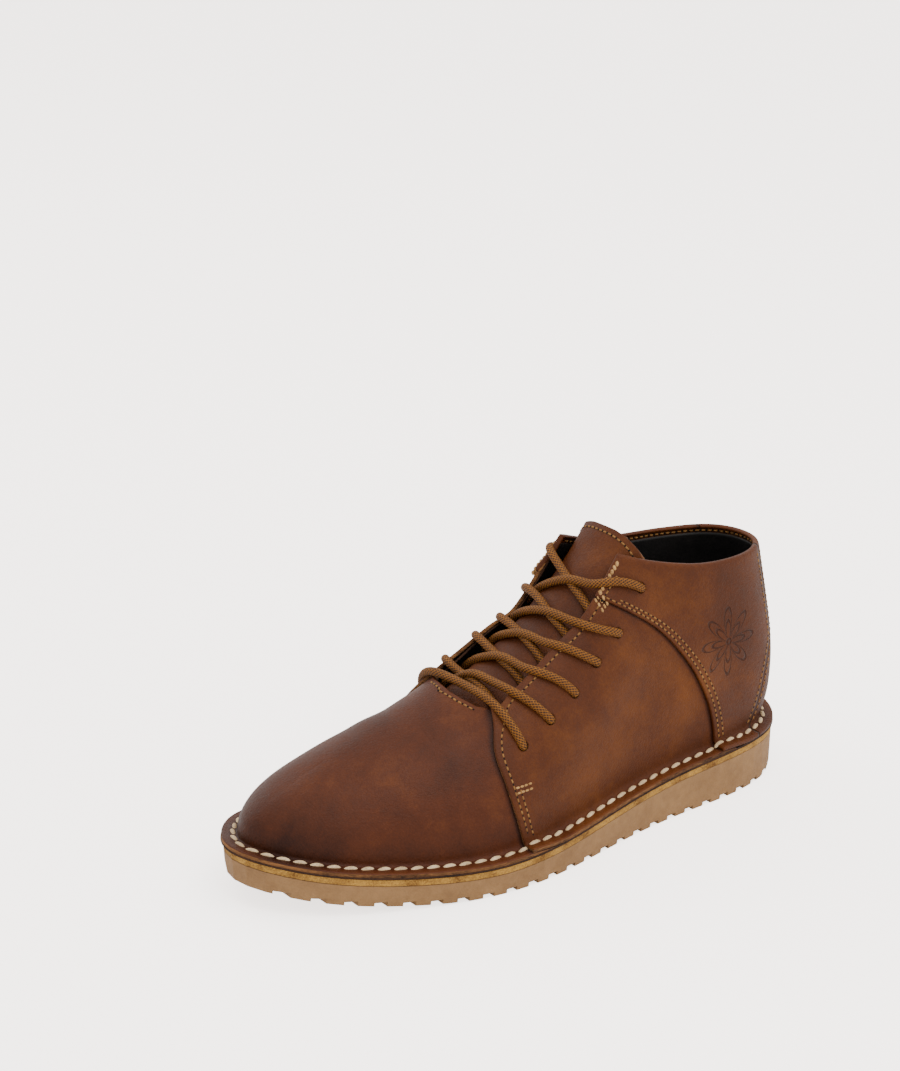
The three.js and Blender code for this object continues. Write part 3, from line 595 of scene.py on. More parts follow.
def leather_material(name, dark, middle, light, seed, pressed=()):
    """Oiled brown leather: cloudy colour, fine grain, faint scuffs and a soft waxy sheen.

    Three noises and the mesh's own tone, added, pick the colour from dark through middle to light. Each
    function in pressed then sinks and darkens its own lines."""
    material, tree, shader, place = start(name)
    moved = knot(tree, "ShaderNodeMapping", Vector=place, Location=(seed, 0.3 * seed, 0)).outputs[0]
    large = cloud(tree, moved, 26, 3, 0.5, 0.6)
    small = cloud(tree, moved, 140, 6, 0.65, 0.4)
    speck = cloud(tree, moved, 900, 3, 0.6)
    tone_and_light = maths(tree, "MULTIPLY_ADD", maths(tree, "SUBTRACT", large, 0.5), 0.9, 0.5)
    tone_and_light = maths(tree, "MULTIPLY_ADD", maths(tree, "SUBTRACT", small, 0.5), 0.5, tone_and_light)
    tone_and_light = maths(tree, "MULTIPLY_ADD", maths(tree, "SUBTRACT", speck, 0.5), 0.35, tone_and_light)
    # The mesh's tone mark carries painted highlight and painted shade as well as the leather's own tone.
    tone_and_light = maths(tree, "ADD", tone_and_light, mark(tree, "tone_and_light"), clamp=True)
    colour = ramp(tree, tone_and_light, (0.0, dark), (0.5, middle), (1.0, light))
    scuff = cloud(tree, moved, 75, 9, 0.75, 1.2)
    scuff = maths(tree, "MULTIPLY", band(tree, scuff, 0.60, 0.80), 0.22)
    colour = blend(tree, scuff, colour, light)
    pits = knot(tree, "ShaderNodeTexVoronoi", {"feature": "F1"}, Vector=moved, Scale=1150.0,
                Randomness=1.0).outputs["Distance"]
    fine = cloud(tree, moved, 1900, 4, 0.6)
    wrinkle = cloud(tree, moved, 260, 7, 0.62, 1.6)
    normal = bump(tree, wrinkle, 0.0008, 0.38)
    normal = bump(tree, maths(tree, "MULTIPLY_ADD", pits, 0.7, fine), 0.00030, 0.42, normal)
    for press in pressed:
        normal, colour = press(tree, place, normal, colour, dark)
    rough = maths(tree, "MULTIPLY_ADD", small, 0.25, 0.38)
    tree.links.new(colour, shader.inputs["Base Color"])
    tree.links.new(rough, shader.inputs["Roughness"])
    tree.links.new(normal, shader.inputs["Normal"])
    shader.inputs["Specular IOR Level"].default_value = 0.13
    return material


def fibre_material(name, dark, light, rough=0.9, scale=900.0, depth=0.0005, layers=1.0):
    """Raw or woven stuff with no sheen: flesh side, cut edge, thread.

    Two noises added pick the colour between dark and light. Above 1, layers flattens them into layers."""
    material, tree, shader, place = start(name)
    place = knot(tree, "ShaderNodeMapping", Vector=place, Scale=(1, 1, layers)).outputs[0]
    patch = cloud(tree, place, scale, 5, 0.7, 0.5)
    wide = cloud(tree, place, scale / 12, 3, 0.6)
    share = maths(tree, "MULTIPLY_ADD", maths(tree, "SUBTRACT", wide, 0.5), 0.9, patch, clamp=True)
    colour = ramp(tree, share, (0.28, dark), (0.72, light))
    tree.links.new(colour, shader.inputs["Base Color"])
    tree.links.new(bump(tree, patch, depth, 0.6), shader.inputs["Normal"])
    shader.inputs["Roughness"].default_value = rough
    shader.inputs["Specular IOR Level"].default_value = 0.2
    return material


VAMP_DARK, VAMP_MIDDLE = (0.018, 0.0040, 0.0012), (0.052, 0.0120, 0.0028)
VAMP_LIGHT = (0.108, 0.0310, 0.0072)
vamp_paint = leather_material("vamp_leather", VAMP_DARK, VAMP_MIDDLE, VAMP_LIGHT, 0.9)
flesh_paint = fibre_material("flesh_side", (0.010, 0.0045, 0.002), (0.045, 0.017, 0.007))
cut_paint = fibre_material("cut_edge", (0.018, 0.0055, 0.0016), (0.185, 0.078, 0.0240), 0.85, 300.0,
                           0.0016, 4.0)

# Tone and painted light: soft round patches where the leather is lighter or darker. They are partly its
# own uneven colour, partly painted highlight on the outer quarter's side and painted shade on the toe's
# front.
# columns: side, x, height, radius, amount
TONE_AND_LIGHT_PATCHES = [
    (-1, 40, 58, 26, 0.30), (-1, 78, 50, 20, 0.22), (-1, -8, 34, 22, 0.16),
    (-1, 10, 90, 14, -0.15), (-1, 62, 92, 20, 0.10), (-1, 118, 60, 22, 0.12),
    (-1, 60, 30, 30, -0.12), (-1, -100, 60, 24, 0.10), (-1, -60, 62, 20, -0.16),
    (-1, -142, 30, 24, -0.42), (1, 30, 60, 26, 0.22), (1, 90, 60, 24, 0.12),
    (-1, 105, 80, 24, -0.05), (-1, 120, 45, 26, -0.12), (1, -142, 30, 24, -0.36),
    (1, -60, 50, 30, -0.10), (-1, 112, 108, 14, 0.12), (-1, -135, 30, 18, -0.10),
    (1, 60, 30, 30, -0.10)]


def tone_and_light(p, w):
    """The patches' sum at points, a little less low on the wall, a little more at the flange's edge."""
    total = np.zeros(p.shape[:-1])
    # The patches hold painted highlight and painted shade as well as the leather's own tone.
    for side, x, z, radius, amount in TONE_AND_LIGHT_PATCHES:
        far = (p[..., 0] - x) ** 2 + (p[..., 2] - z) ** 2
        here = smooth(side * (p[..., 1] - THROAT_SWING), -6, 8)
        total += amount * np.exp(-far / radius ** 2) * here
    return total - 0.10 * smooth(p[..., 2], 36, 24) + 0.20 * smooth(w, -0.48, -0.72)


def step_shade(past):
    """How much darker the leather is beside the step of the next piece: it rises over the last 2 mm."""
    return 0.55 * smooth(past, -2.6, -0.4)


u = steps(300, 330)
v = np.linspace(0, 1, 87)
outer_end, inner_end = (edge_station(side, vamp_edge_x, np.ones(1))[0] for side in (-1, 1))
ridge = np.where(u < 0.5, outer_end * (1 - 2 * u) + TOE * 2 * u,
                 TOE * (2 - 2 * u) + inner_end * (2 * u - 1))
top = np.stack([ridge, 0 * u + 1], -1)
vamp_grid = panel(lambda w: edge_station(-1, vamp_edge_x, w), lambda w: edge_station(1, vamp_edge_x, w),
                  1.0, 1.0, top, u, v)
vamp_points = ease_ridge(leather_point(vamp_grid[..., 0], vamp_grid[..., 1]))
rows, columns = vamp_points.shape[:2]
half = np.abs(vamp_points[..., 1] - THROAT_SWING)
past = vamp_points[..., 0] - front_x(vamp_points[..., 2])
covered = np.where((vamp_points[..., 2] > 60) & (half < 26), 0, np.maximum(0, past))
thinned = np.minimum(SKIVE * covered, LEATHER - 0.5)
outer = crease(vamp_points) - thinned - edge_rounding(rows, columns, sides="lrb")
shade = tone_and_light(vamp_points, vamp_grid[..., 1]) - step_shade(past) * (half > 20)
vamp = shell("vamp", vamp_points, outer, crease(vamp_points) - LEATHER,
             [vamp_paint, flesh_paint, cut_paint], marks={"tone_and_light": shade}, fold=True)
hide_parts("upper")

# Front quarters: one each side of the throat, of the same hide, with six lace holes punched in each. They
# lie on the vamp as a raised step, sewn down in front with one row and low down with a second, and run
# on under the rear quarter.
OVERLAP_STEP, OVERLAP_REACH = 1.6, 22
THROAT_HALF = 22
UNDERLAP = 9            # how far a front quarter runs on under the rear quarter
# columns: along, height above the floor
REAR_EDGE = np.array([(0.190, 15.4), (0.198, 34.7), (0.218, 53.9), (0.262, 76.8), (0.322, 96.0),
                      (0.420, 115.2)])
# columns: along, half as a share of the throat's half
THROAT = np.array([(0.290, 0.86), (0.370, 0.92), (0.480, 1.00), (0.570, 1.02), (0.604, 0.98),
                   (0.618, 0.72), (0.626, 0.33)])
rear_x = through(REAR_EDGE[:, 1], x_at(REAR_EDGE[:, 0]))
throat_half = through(x_at(THROAT[:, 0]), THROAT[:, 1] * THROAT_HALF)


def seam_station(side, line, w):
    """The station at each w where the leather's x is the seam's x for its height."""
    return edge_station(side, lambda p: line(p[:, 2]), w)


def leather_normal(station, w):
    """Outward direction of the leather's face."""
    up = (leather_point(station, np.minimum(w + 0.012, 1))
          - leather_point(station, np.maximum(w - 0.012, -1)))
    along = leather_point(station + 0.03, w) - leather_point(station - 0.03, w)
    normal = np.cross(up, along)
    return normal / np.linalg.norm(normal, axis=-1)[..., None]


def spot(side, x, value, axis=2):
    """Station and w of the leather's point at x with this z (axis 2) or this y (axis 1)."""
    x, value = np.broadcast_arrays(np.asarray(x, float), np.asarray(value, float))
    station = np.where(side < 0, TOE * share_at(x), LOOP - TOE * share_at(x))
    w = np.full(x.shape, 0.5 if axis == 2 else 0.8)
    for _ in range(9):
        here = leather_point(station, w)
        by_s = (leather_point(station + 0.02, w) - here) / 0.02
        by_w = (leather_point(station, w - 0.002) - here) / -0.002
        miss_x, miss = x - here[..., 0], value - here[..., axis]
        area = by_s[..., 0] * by_w[..., axis] - by_s[..., axis] * by_w[..., 0]
        move_s = (miss_x * by_w[..., axis] - miss * by_w[..., 0]) / area
        move_w = (by_s[..., 0] * miss - by_s[..., axis] * miss_x) / area
        station = station + np.clip(move_s, -0.6, 0.6)
        w = np.clip(w + np.clip(move_w, -0.1, 0.1), 0, 1)
    return station, w


def throat_edge(side, x):
    """The throat's edge at each x, as rows of station and w."""
    station, w = spot(side, x, THROAT_SWING + side * throat_half(x), axis=1)
    return np.stack([station, w], -1)


def throat_meets(side, low, high, above):
    """The x between low and high where the throat's edge crosses a line."""
    def test(x):
        """Whether the edge at x lies on the first side of the line."""
        line = throat_edge(side, x)
        return above(leather_point(line[:, 0], line[:, 1]))
    return halve([low], [high], test)[0]


def lap(p, edge_x):
    """Creases plus a step: full at the edge of the leather on top, and nothing 22 mm behind it."""
    behind = p[..., 0] - edge_x(p[..., 2])
    return crease(p) + OVERLAP_STEP * (1 - smooth(behind, 0, OVERLAP_REACH))


def front_lift(p):
    """How far a front quarter's outer face lies off the last: the lap on the vamp."""
    return lap(p, front_x)


front_corner = {side: throat_meets(side, -36, -20, lambda p: p[:, 0] < front_x(p[:, 2]))
                for side in (-1, 1)}

HOLE = 5.0
# columns: along, height above the floor, the strand's height over the seams' steps
HOLES = np.array([(0.332, 113.4, 0.95), (0.386, 96.4, 0.9), (0.433, 86.2, 0.2), (0.484, 76.2, 0.2),
                  (0.537, 68.2, 0.3), (0.591, 60.0, 0.9)])
hole_station, hole_w, hole_place, hole_out = {}, {}, {}, {}
for side in (-1, 1):
    hole_station[side], hole_w[side] = spot(side, x_at(HOLES[:, 0]), HOLES[:, 1])
    hole_place[side] = leather_point(hole_station[side], hole_w[side])
    hole_out[side] = leather_normal(hole_station[side], hole_w[side])


def punch(points, radius=HOLE / 2):
    """Cuts the lace holes: the grid's lines are drawn to each hole's rim, and its faces left out."""
    normal = directions(points)
    rows, columns = points.shape[:2]
    keep = np.ones((rows - 1, columns - 1), bool)
    middle = (points[:-1, :-1] + points[1:, :-1] + points[:-1, 1:] + points[1:, 1:]) / 4
    points = points.copy()
    for side in (-1, 1):
        for place, out in zip(hole_place[side], hole_out[side]):
            def distance(p):
                """Offset from the hole's middle in its plane, that offset's length, and what is near."""
                d = p - place
                depth = d @ out
                flat = d - depth[..., None] * out
                return flat, np.linalg.norm(flat, axis=-1), np.abs(depth) < 8
            _, far, near = distance(middle)
            gone = (far < radius) & near
            keep &= ~gone
            touch = np.zeros((rows, columns), int)
            for di in (0, 1):
                for dj in (0, 1):
                    touch[di:rows - 1 + di, dj:columns - 1 + dj] += gone
            ring = (touch > 0) & (touch < 4)
            flat, far, _ = distance(points)
            move = flat * (radius / np.maximum(far, 1e-6) - 1)[..., None]
            points[ring] += move[ring]
    return points, keep


DARK, MIDDLE, LIGHT = (0.021, 0.0046, 0.0009), (0.056, 0.0134, 0.0022), (0.116, 0.0340, 0.0055)
leather_paint = leather_material("quarter_leather", DARK, MIDDLE, LIGHT, 0.0)

for side, name in ((-1, "outer_front_quarter"), (1, "inner_front_quarter")):
    def front_line(w, side=side):
        """The front edge's station at each w."""
        return seam_station(side, front_x, w)

    def rear_line(w, side=side):
        """The covered rear edge's station at each w."""
        return seam_station(side, lambda z: rear_x(z) + UNDERLAP, w)
    end = throat_meets(side, 5, 45, lambda p: p[:, 0] < rear_x(p[:, 2]) + UNDERLAP)
    u = steps(150, 110)
    top = throat_edge(side, front_corner[side] * (1 - u) + end * u)
    v = steps(96, 80)[1:]
    v[0] = 0
    left, right = front_line, rear_line
    if side > 0:
        left, right, top = right, left, top[::-1]
    grid = panel(left, right, top[0, 1], top[-1, 1], top, u, v)[:, ::-1]
    points = leather_point(grid[..., 0], grid[..., 1])
    rows, columns = points.shape[:2]
    under = np.maximum(0, points[..., 0] - rear_x(points[..., 2]))
    points, keep = punch(points)
    inner = front_lift(points) - LEATHER
    outer = front_lift(points) - SKIVE * under - edge_rounding(rows, columns)
    shade = tone_and_light(points, grid[..., 1]) - step_shade(points[..., 0] - rear_x(points[..., 2]))
    quarter = shell(name, points, outer, inner, [leather_paint, flesh_paint, cut_paint], keep,
                    {"tone_and_light": shade})
    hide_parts("upper")

# Rear quarter: the hide round ankle and heel, two sides and a heel panel sewn together and meshed as one.
# It lies on the front quarters as a raised step, sewn down with two rows. Its top edge is turned in over
# the lining, and a rosette is pressed into the outer side.
COLLAR_TILT = 3         # how much lower the collar is on the inner side
# columns: along, height as a share of the collar height
COLLAR_LINE = np.array([(-0.060, 0.975), (0.020, 0.970), (0.130, 0.965), (0.235, 0.985),
                        (0.310, 1.030), (0.365, 1.080), (0.420, 1.115)])
collar_z = through(x_at(COLLAR_LINE[:, 0]), COLLAR_LINE[:, 1] * COLLAR_HEIGHT)


def collar_height(p):
    """The collar's height at points: its line in the side view, tilted across the ankle."""
    return collar_z(p[..., 0]) - COLLAR_TILT / ANKLE_WIDTH * p[..., 1]


def collar_w(station, below=0.0):
    """The w of the collar's edge at each station."""
    def under(w):
        """Whether the leather at w is still under the collar's edge."""
        p = leather_point(station, w)
        return p[:, 2] < collar_height(p) - below
    return halve(np.full(len(station), 0.4), np.ones(len(station)), under)


rear_corner, top_corner = {}, {}
for side in (-1, 1):
    rear_corner[side] = throat_meets(side, 5, 45, lambda p: p[:, 0] < rear_x(p[:, 2]))
    top_corner[side] = throat_meets(side, 30, 62, lambda p: p[:, 2] < collar_height(p))


def rear_lift(p):
    """How far the rear quarter's outer face lies off the last: the lap on the front quarters."""
    return lap(p, rear_x)


def round_heel(edge_x):
    """The two end lines of a panel that goes round the heel, with stations below 0 on its inner side."""
    def left(w):
        """The outer side's station at each w."""
        return seam_station(-1, edge_x, w)

    def right(w):
        """The inner side's station at each w, less one round."""
        return seam_station(1, edge_x, w) - LOOP
    return left, right


def shares_along(top):
    """Each place's share of a top line's length, measured on the leather."""
    lengths = np.linalg.norm(np.diff(leather_point(top[:, 0], top[:, 1]), axis=0), axis=-1)
    return np.concatenate([[0], np.cumsum(lengths)]) / lengths.sum()


# The heel panel's seam. columns: height above the floor, x
HEEL_SEAM = [(22, 117.5), (72, 134.0), (118, 126.0)]


def heel_seam_x(z):
    """The seam's x at height z, straight between its places."""
    return np.interp(z, *np.array(HEEL_SEAM).T)


def heel_seam(tree, place):
    """Distance in metres behind the seam that bounds the heel panel."""
    axes = knot(tree, "ShaderNodeSeparateXYZ", Vector=place)
    lines = []
    for (z0, x0), (z1, x1) in zip(HEEL_SEAM, HEEL_SEAM[1:]):
        slope = (x1 - x0) / (z1 - z0)
        lines.append(maths(tree, "MULTIPLY_ADD", axes.outputs[2], slope, (x0 - slope * z0) * MM))
    return maths(tree, "SUBTRACT", axes.outputs[0], maths(tree, "MINIMUM", *lines))


def press_seam(tree, place, normal, colour, dark):
    """Sinks and darkens a line about 1 mm wide along the heel panel's seam."""
    groove = band(tree, maths(tree, "ABSOLUTE", heel_seam(tree, place)), 0.0009, 0.0002)
    normal = bump(tree, groove, -0.0007, 1.0, normal)
    groove_share = maths(tree, "MULTIPLY", groove, 0.75)
    return normal, blend(tree, groove_share, colour, (0.012, 0.005, 0.002))


ROSETTE_X, ROSETTE_Z, ROSETTE_SIZE = 0.0990, 0.0775, 0.0165     # metres


def rosette(tree, place, x, z, size):
    """An eight-petalled outline pressed into the outer side: 1 on its lines and 0 elsewhere."""
    axes = knot(tree, "ShaderNodeSeparateXYZ", Vector=place)
    dx = maths(tree, "SUBTRACT", axes.outputs[0], x)
    dz = maths(tree, "SUBTRACT", axes.outputs[2], z)
    far = maths(tree, "SQRT", maths(tree, "ADD", maths(tree, "MULTIPLY", dx, dx),
                                    maths(tree, "MULTIPLY", dz, dz)))
    angle = maths(tree, "ARCTAN2", dz, dx)
    petal = maths(tree, "ABSOLUTE", maths(tree, "COSINE", maths(tree, "MULTIPLY", angle, 4.0)))
    lines = 0.0
    for share in (1.0, 0.62):
        off = maths(tree, "ABSOLUTE", maths(tree, "SUBTRACT", far,
                                            maths(tree, "MULTIPLY", petal, size * share)))
        lines = maths(tree, "MAXIMUM", lines, band(tree, off, 0.0011, 0.0004))
    lines = maths(tree, "MULTIPLY", lines, band(tree, far, 0.0016, 0.0028))
    lines = maths(tree, "MAXIMUM", lines, band(tree, maths(tree, "ABSOLUTE", maths(
        tree, "SUBTRACT", far, 0.0012)), 0.0008, 0.0002))
    return maths(tree, "MULTIPLY", lines, maths(tree, "LESS_THAN", axes.outputs[1], 0.0))


def press_rosette(tree, place, normal, colour, dark):
    """Sinks the rosette's lines by 0.6 mm and darkens them."""
    lines = rosette(tree, place, ROSETTE_X, ROSETTE_Z, ROSETTE_SIZE)
    normal = bump(tree, lines, -0.0006, 0.9, normal)
    return normal, blend(tree, maths(tree, "MULTIPLY", lines, 0.70), colour, dark)


rear_paint = leather_material("rear_leather", DARK, MIDDLE, LIGHT, 0.4, (press_seam, press_rosette))

outer_throat = np.linspace(rear_corner[-1], top_corner[-1], 30)
inner_throat = np.linspace(rear_corner[1], top_corner[1], 30)
first, last = throat_edge(-1, outer_throat), throat_edge(1, inner_throat)[::-1]
last[:, 0] -= LOOP
collar_stations = np.linspace(first[-1, 0], last[0, 0], 230)
collar_top = np.stack([collar_stations, collar_w(collar_stations)], -1)
top = np.concatenate([first, collar_top[1:-1], last])

# The turned-in edge: how far up the last rows of the grid lie, how far each is rolled in, and how much
# the leather is thinned there.
COLLAR_ROWS = 1 - np.array([3.6, 2.8, 2.1, 1.5, 1.0, 0.55, 0.2, 0.0]) / 100
COLLAR_ROLL = [0, 0.02, 0.06, 0.14, 0.28, 0.5, 0.85, 1.35]
COLLAR_THINNED = [0, 0.3, 0.8, 1.2, 1.35, 1.2, 0.9, 0.35]
v = steps(104, 100)[1:]
v[0] = 0
v = np.concatenate([v[v < 0.957], COLLAR_ROWS])
grid = panel(*round_heel(rear_x), top[0, 1], top[-1, 1], top, shares_along(top), v)[:, ::-1]
points = leather_point(grid[..., 0], grid[..., 1])
rows, columns = points.shape[:2]
points, keep = punch(points)
roll, thinned = np.zeros((rows, 1)), np.zeros((rows, 1))
roll[-8:, 0], thinned[-8:, 0] = COLLAR_ROLL, COLLAR_THINNED
outer = rear_lift(points) - edge_rounding(rows, columns, sides="lrb") - roll
inner = rear_lift(points) - LEATHER - thinned
rear = shell("rear_quarter", points, outer, inner, [rear_paint, flesh_paint, rear_paint], keep,
             {"tone_and_light": tone_and_light(points, grid[..., 1])}, turned=11)
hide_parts("upper")

# Toe lining: black smooth leather 1 mm thick, glued inside the vamp and cut off with it at the flange's
# edge, where its raw brown cut shows.
LINING = 1.0
GLUE = 0.05             # room between leather and lining
lining_paint = fibre_material("lining_leather", (0.0035, 0.003, 0.003), (0.009, 0.0075, 0.007), 0.5,
                              1500.0, 0.0002)
chosen_rows = np.linspace(0, len(vamp_points) - 1, 49).round().astype(int)
chosen = np.linspace(0, vamp_points.shape[1] // 2 - 1, 76).round().astype(int)
chosen = np.concatenate([chosen, vamp_points.shape[1] - 1 - chosen[::-1]])
points = vamp_points[chosen_rows][:, chosen]
push = crease(points) - LEATHER
toe_lining = shell("toe_lining", points, push - GLUE, push - LINING,
                   [lining_paint, lining_paint, flesh_paint], fold=True)
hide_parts("upper")

# Quarter lining: the same black leather round the inside of the quarters and the heel, sewn in under the
# collar's turned-in edge. It is cut back a little at the throat, and its lace holes are a little wider.
first = throat_edge(-1, np.linspace(front_corner[-1] + 0.6, top_corner[-1] + 0.6, 60))
last = throat_edge(1, np.linspace(front_corner[1] + 0.6, top_corner[1] + 0.6, 60))[::-1]
last[:, 0] -= LOOP
first[:, 1] -= 0.008
last[:, 1] -= 0.008
collar_stations = np.linspace(first[-1, 0], last[0, 0], 130)
collar_top = np.stack([collar_stations, collar_w(collar_stations, 4.0)], -1)
top = np.concatenate([first[:-1], collar_top, last[1:]])
grid = panel(*round_heel(front_x), top[0, 1], top[-1, 1], top, shares_along(top),
             np.linspace(0, 1, 60))[:, ::-1]
points, keep = punch(leather_point(grid[..., 0], grid[..., 1]), HOLE / 2 + 0.3)
push = crease(points) - LEATHER
lining = shell("quarter_lining", points, push - GLUE, push - LINING,
               [lining_paint, lining_paint, flesh_paint], keep)
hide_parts("upper")

# Tongue: one piece of the brown leather, 2.4 mm thick and 56 mm wide with a rounded top, sewn on under
# the vamp's rear edge. It bends with the instep and lies against the quarters' lining at both sides.
TONGUE, TONGUE_WIDTH, TONGUE_ARCH, TONGUE_ROUND = 2.4, 56, 0.011, 0.2
TONGUE_TUCK = 3.6       # how far its sides are pressed down under the throat's edges
# columns: along, height above the floor, half as a share of the tongue's width
TONGUE_LINE = np.array([(0.690, 65.1, 0.36), (0.624, 69.3, 0.42), (0.517, 85.0, 0.46),
                        (0.409, 108.8, 0.50), (0.362, 124.2, 0.50), (0.328, 136.0, 0.50)])
tongue_x = through(np.arange(6) / 5, x_at(TONGUE_LINE[:, 0]))
tongue_z = through(np.arange(6) / 5, TONGUE_LINE[:, 1])
tongue_side = through(np.arange(6) / 5, TONGUE_LINE[:, 2] * TONGUE_WIDTH)


def tongue_point(v, y, depth, tuck=0.0):
    """A point of the tongue: v up its length, y across from the middle, depth into its leather."""
    slope_x = tongue_x(v + 0.01) - tongue_x(v - 0.01)
    slope_z = tongue_z(v + 0.01) - tongue_z(v - 0.01)
    size = np.hypot(slope_x, slope_z)
    fall = TONGUE_ARCH * y * y + depth + tuck * smooth(np.abs(y) / THROAT_HALF, 0.62, 1.02)
    return np.stack([tongue_x(v) + fall * slope_z / size, THROAT_SWING + y + 0 * v,
                     tongue_z(v) - fall * slope_x / size], -1)


tongue_v = np.concatenate([steps(110, 130)[:-2] * (1 - TONGUE_ROUND),
                           1 - TONGUE_ROUND * (1 - np.sin(np.linspace(0, np.arcsin(0.985), 44)))])
past = np.maximum(0, (tongue_v - (1 - TONGUE_ROUND)) / TONGUE_ROUND)
tongue_half = tongue_side(tongue_v) * np.maximum(1 - past ** 2.6, 2e-4) ** (1 / 2.3)
tongue_share = 2 * steps(70, 52) - 1
y = tongue_share[None, :] * tongue_half[:, None]
v = np.broadcast_to(tongue_v[:, None], y.shape)
points = tongue_point(v, y, 0.0, TONGUE_TUCK)
tongue_rows, tongue_columns = points.shape[:2]

# It is kept inside the quarters, no higher than the lining's inner face beside it, and the lowering is
# spread out evenly.
lower = np.zeros(y.shape)
for side in (-1, 1):
    over = (side * (points[..., 1] - THROAT_SWING) > 9) & (v > 0.3)
    for shift, below in ((0.0, 3.6), (3.2, 1.2)):
        x, y_there = points[over][:, 0], points[over][:, 1] + side * shift
        station, w = spot(side, x, y_there, axis=1)
        wall = leather_point(station, w)
        miss = np.hypot(wall[:, 0] - x, wall[:, 1] - y_there)
        too_high = np.where(miss < 0.5, points[over][:, 2] - wall[:, 2] + below, 0)
        lower[over] = np.maximum(lower[over], too_high)
for _ in range(60):
    spread = lower.copy()
    spread[1:-1, 1:-1] = (lower[:-2, 1:-1] + lower[2:, 1:-1] + lower[1:-1, :-2] + lower[1:-1, 2:]) / 4
    spread[1:-1, [0, -1]] = (lower[:-2, [0, -1]] + lower[2:, [0, -1]] + 2 * lower[1:-1, [1, -2]]) / 4
    spread[-1] = spread[-2]
    lower = spread
points[..., 2] -= lower

tongue_paint = leather_material("tongue_leather", DARK, MIDDLE, LIGHT, 1.3)
ripple = 0.35 * np.sin(v * 21 + y * 0.06) * np.exp(-(y / 20) ** 2)
tongue = shell("tongue_leather", points, ripple - edge_rounding(tongue_rows, tongue_columns, 0.5),
               ripple - TONGUE, [tongue_paint, flesh_paint, cut_paint], marks={"tone_and_light": 0.0 * v})
tongue_face = points + directions(points) * ripple[..., None]
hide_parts("tongue")

# Laces: one round cord 4 mm thick, braided from waxed brown yarn with dark flecks. It runs as a bar over
# the lowest pair of holes and in five crossings up to the top pair, where its ends go inside.
LACE = 4.0
REST = LACE / 2 - 0.1       # height of the cord's middle where it rests on leather
BRAID_SIDES, BRAID_PITCH = 36, 2.0
# columns: outer over, inner over, cross, across, outer under, inner under
CROSSINGS = np.array([
    (0.393, 0.380, 0.405, -0.30, 0.408, 0.413), (0.443, 0.423, 0.452, -0.42, 0.450, 0.455),
    (0.487, 0.476, 0.493, -0.28, 0.496, 0.495), (0.532, 0.520, 0.535, -0.27, 0.535, 0.540),
    (0.571, 0.575, 0.580, 0.15, 0.588, 0.585), (0.599, 0.608, 0, 0, 0, 0)])


def cord_material(name):
    """Waxed braided yarn with dark flecks: painted shade in the gaps of the weave, painted highlight on
    its ridges.
    """
    material, tree, shader, place = start(name)
    patch = cloud(tree, place, 700, 3, 0.6)
    # The weave mark paints shade into the braid's gaps and a highlight onto its ridges.
    share = maths(tree, "MULTIPLY_ADD", maths(tree, "SUBTRACT", patch, 0.5), 0.5, mark(tree, "weave_and_shading"))
    colour = ramp(tree, share, (0.12, (0.026, 0.0075, 0.0006)), (0.55, (0.118, 0.038, 0.0020)),
                  (1.0, (0.215, 0.080, 0.0045)))
    colour = blend(tree, maths(tree, "MULTIPLY", mark(tree, "fleck"), 0.75), colour,
                   (0.020, 0.009, 0.004))
    fine = knot(tree, "ShaderNodeTexVoronoi", {"feature": "F1"}, Vector=place, Scale=1900.0)
    tree.links.new(colour, shader.inputs["Base Color"])
    tree.links.new(bump(tree, fine.outputs["Distance"], 0.0003, 0.5), shader.inputs["Normal"])
    shader.inputs["Roughness"].default_value = 0.72
    shader.inputs["Specular IOR Level"].default_value = 0.25
    return material


lace_paint = cord_material("lace_cord")


def over_quarter(side, hole, share, lift):
    """A point over the quarter, from a lace hole at share 0 to the throat's edge at share 1."""
    edge = throat_edge(side, x_at(CROSSINGS[hole, [0 if side < 0 else 1]]))[0]
    station = hole_station[side][hole] * (1 - share) + edge[0] * share
    w = hole_w[side][hole] * (1 - share) + edge[1] * share
    point, out = leather_point(station, w), leather_normal(station, w)
    step = max(front_lift(point), rear_lift(point) if point[0] > rear_x(point[2]) else 0)
    return point + out * (lift + step)


def over_tongue(across, x, lift):
    """A point over the tongue: a share of the throat's half across, at x, lift above the leather."""
    y = across * THROAT_HALF

    def before(v):
        """Whether the tongue at v is still ahead of x."""
        return tongue_point(v, y, -lift)[..., 0] < x
    v = halve([0.0], [1.0], before)[0]
    return tongue_point(v, y, -lift)


def rope_line(spots, pitch=0.34, taut=520):
    """A smooth line through spots, as evenly spaced points, pulled straight between its ends."""
    spots = np.array(spots)
    parts = np.linalg.norm(np.diff(spots, axis=0), axis=1) ** 0.6
    place = np.concatenate([[0], np.cumsum(parts)])
    fine = np.linspace(0, place[-1], 400)
    line = np.stack([through(place, spots[:, k])(fine) for k in range(3)], -1)
    lengths = np.concatenate([[0], np.cumsum(np.linalg.norm(np.diff(line, axis=0), axis=1))])
    even = np.linspace(0, lengths[-1], int(lengths[-1] / pitch) + 2)
    line = np.stack([np.interp(even, lengths, line[:, k]) for k in range(3)], -1)
    reach = np.minimum(even, even[-1] - even)
    pull = 0.5 * smooth(reach, 5.5, 9)[:, None]
    for _ in range(taut):
        line[1:-1] += pull[1:-1] * (line[:-2] + line[2:] - 2 * line[1:-1]) * 0.5
    return line, even


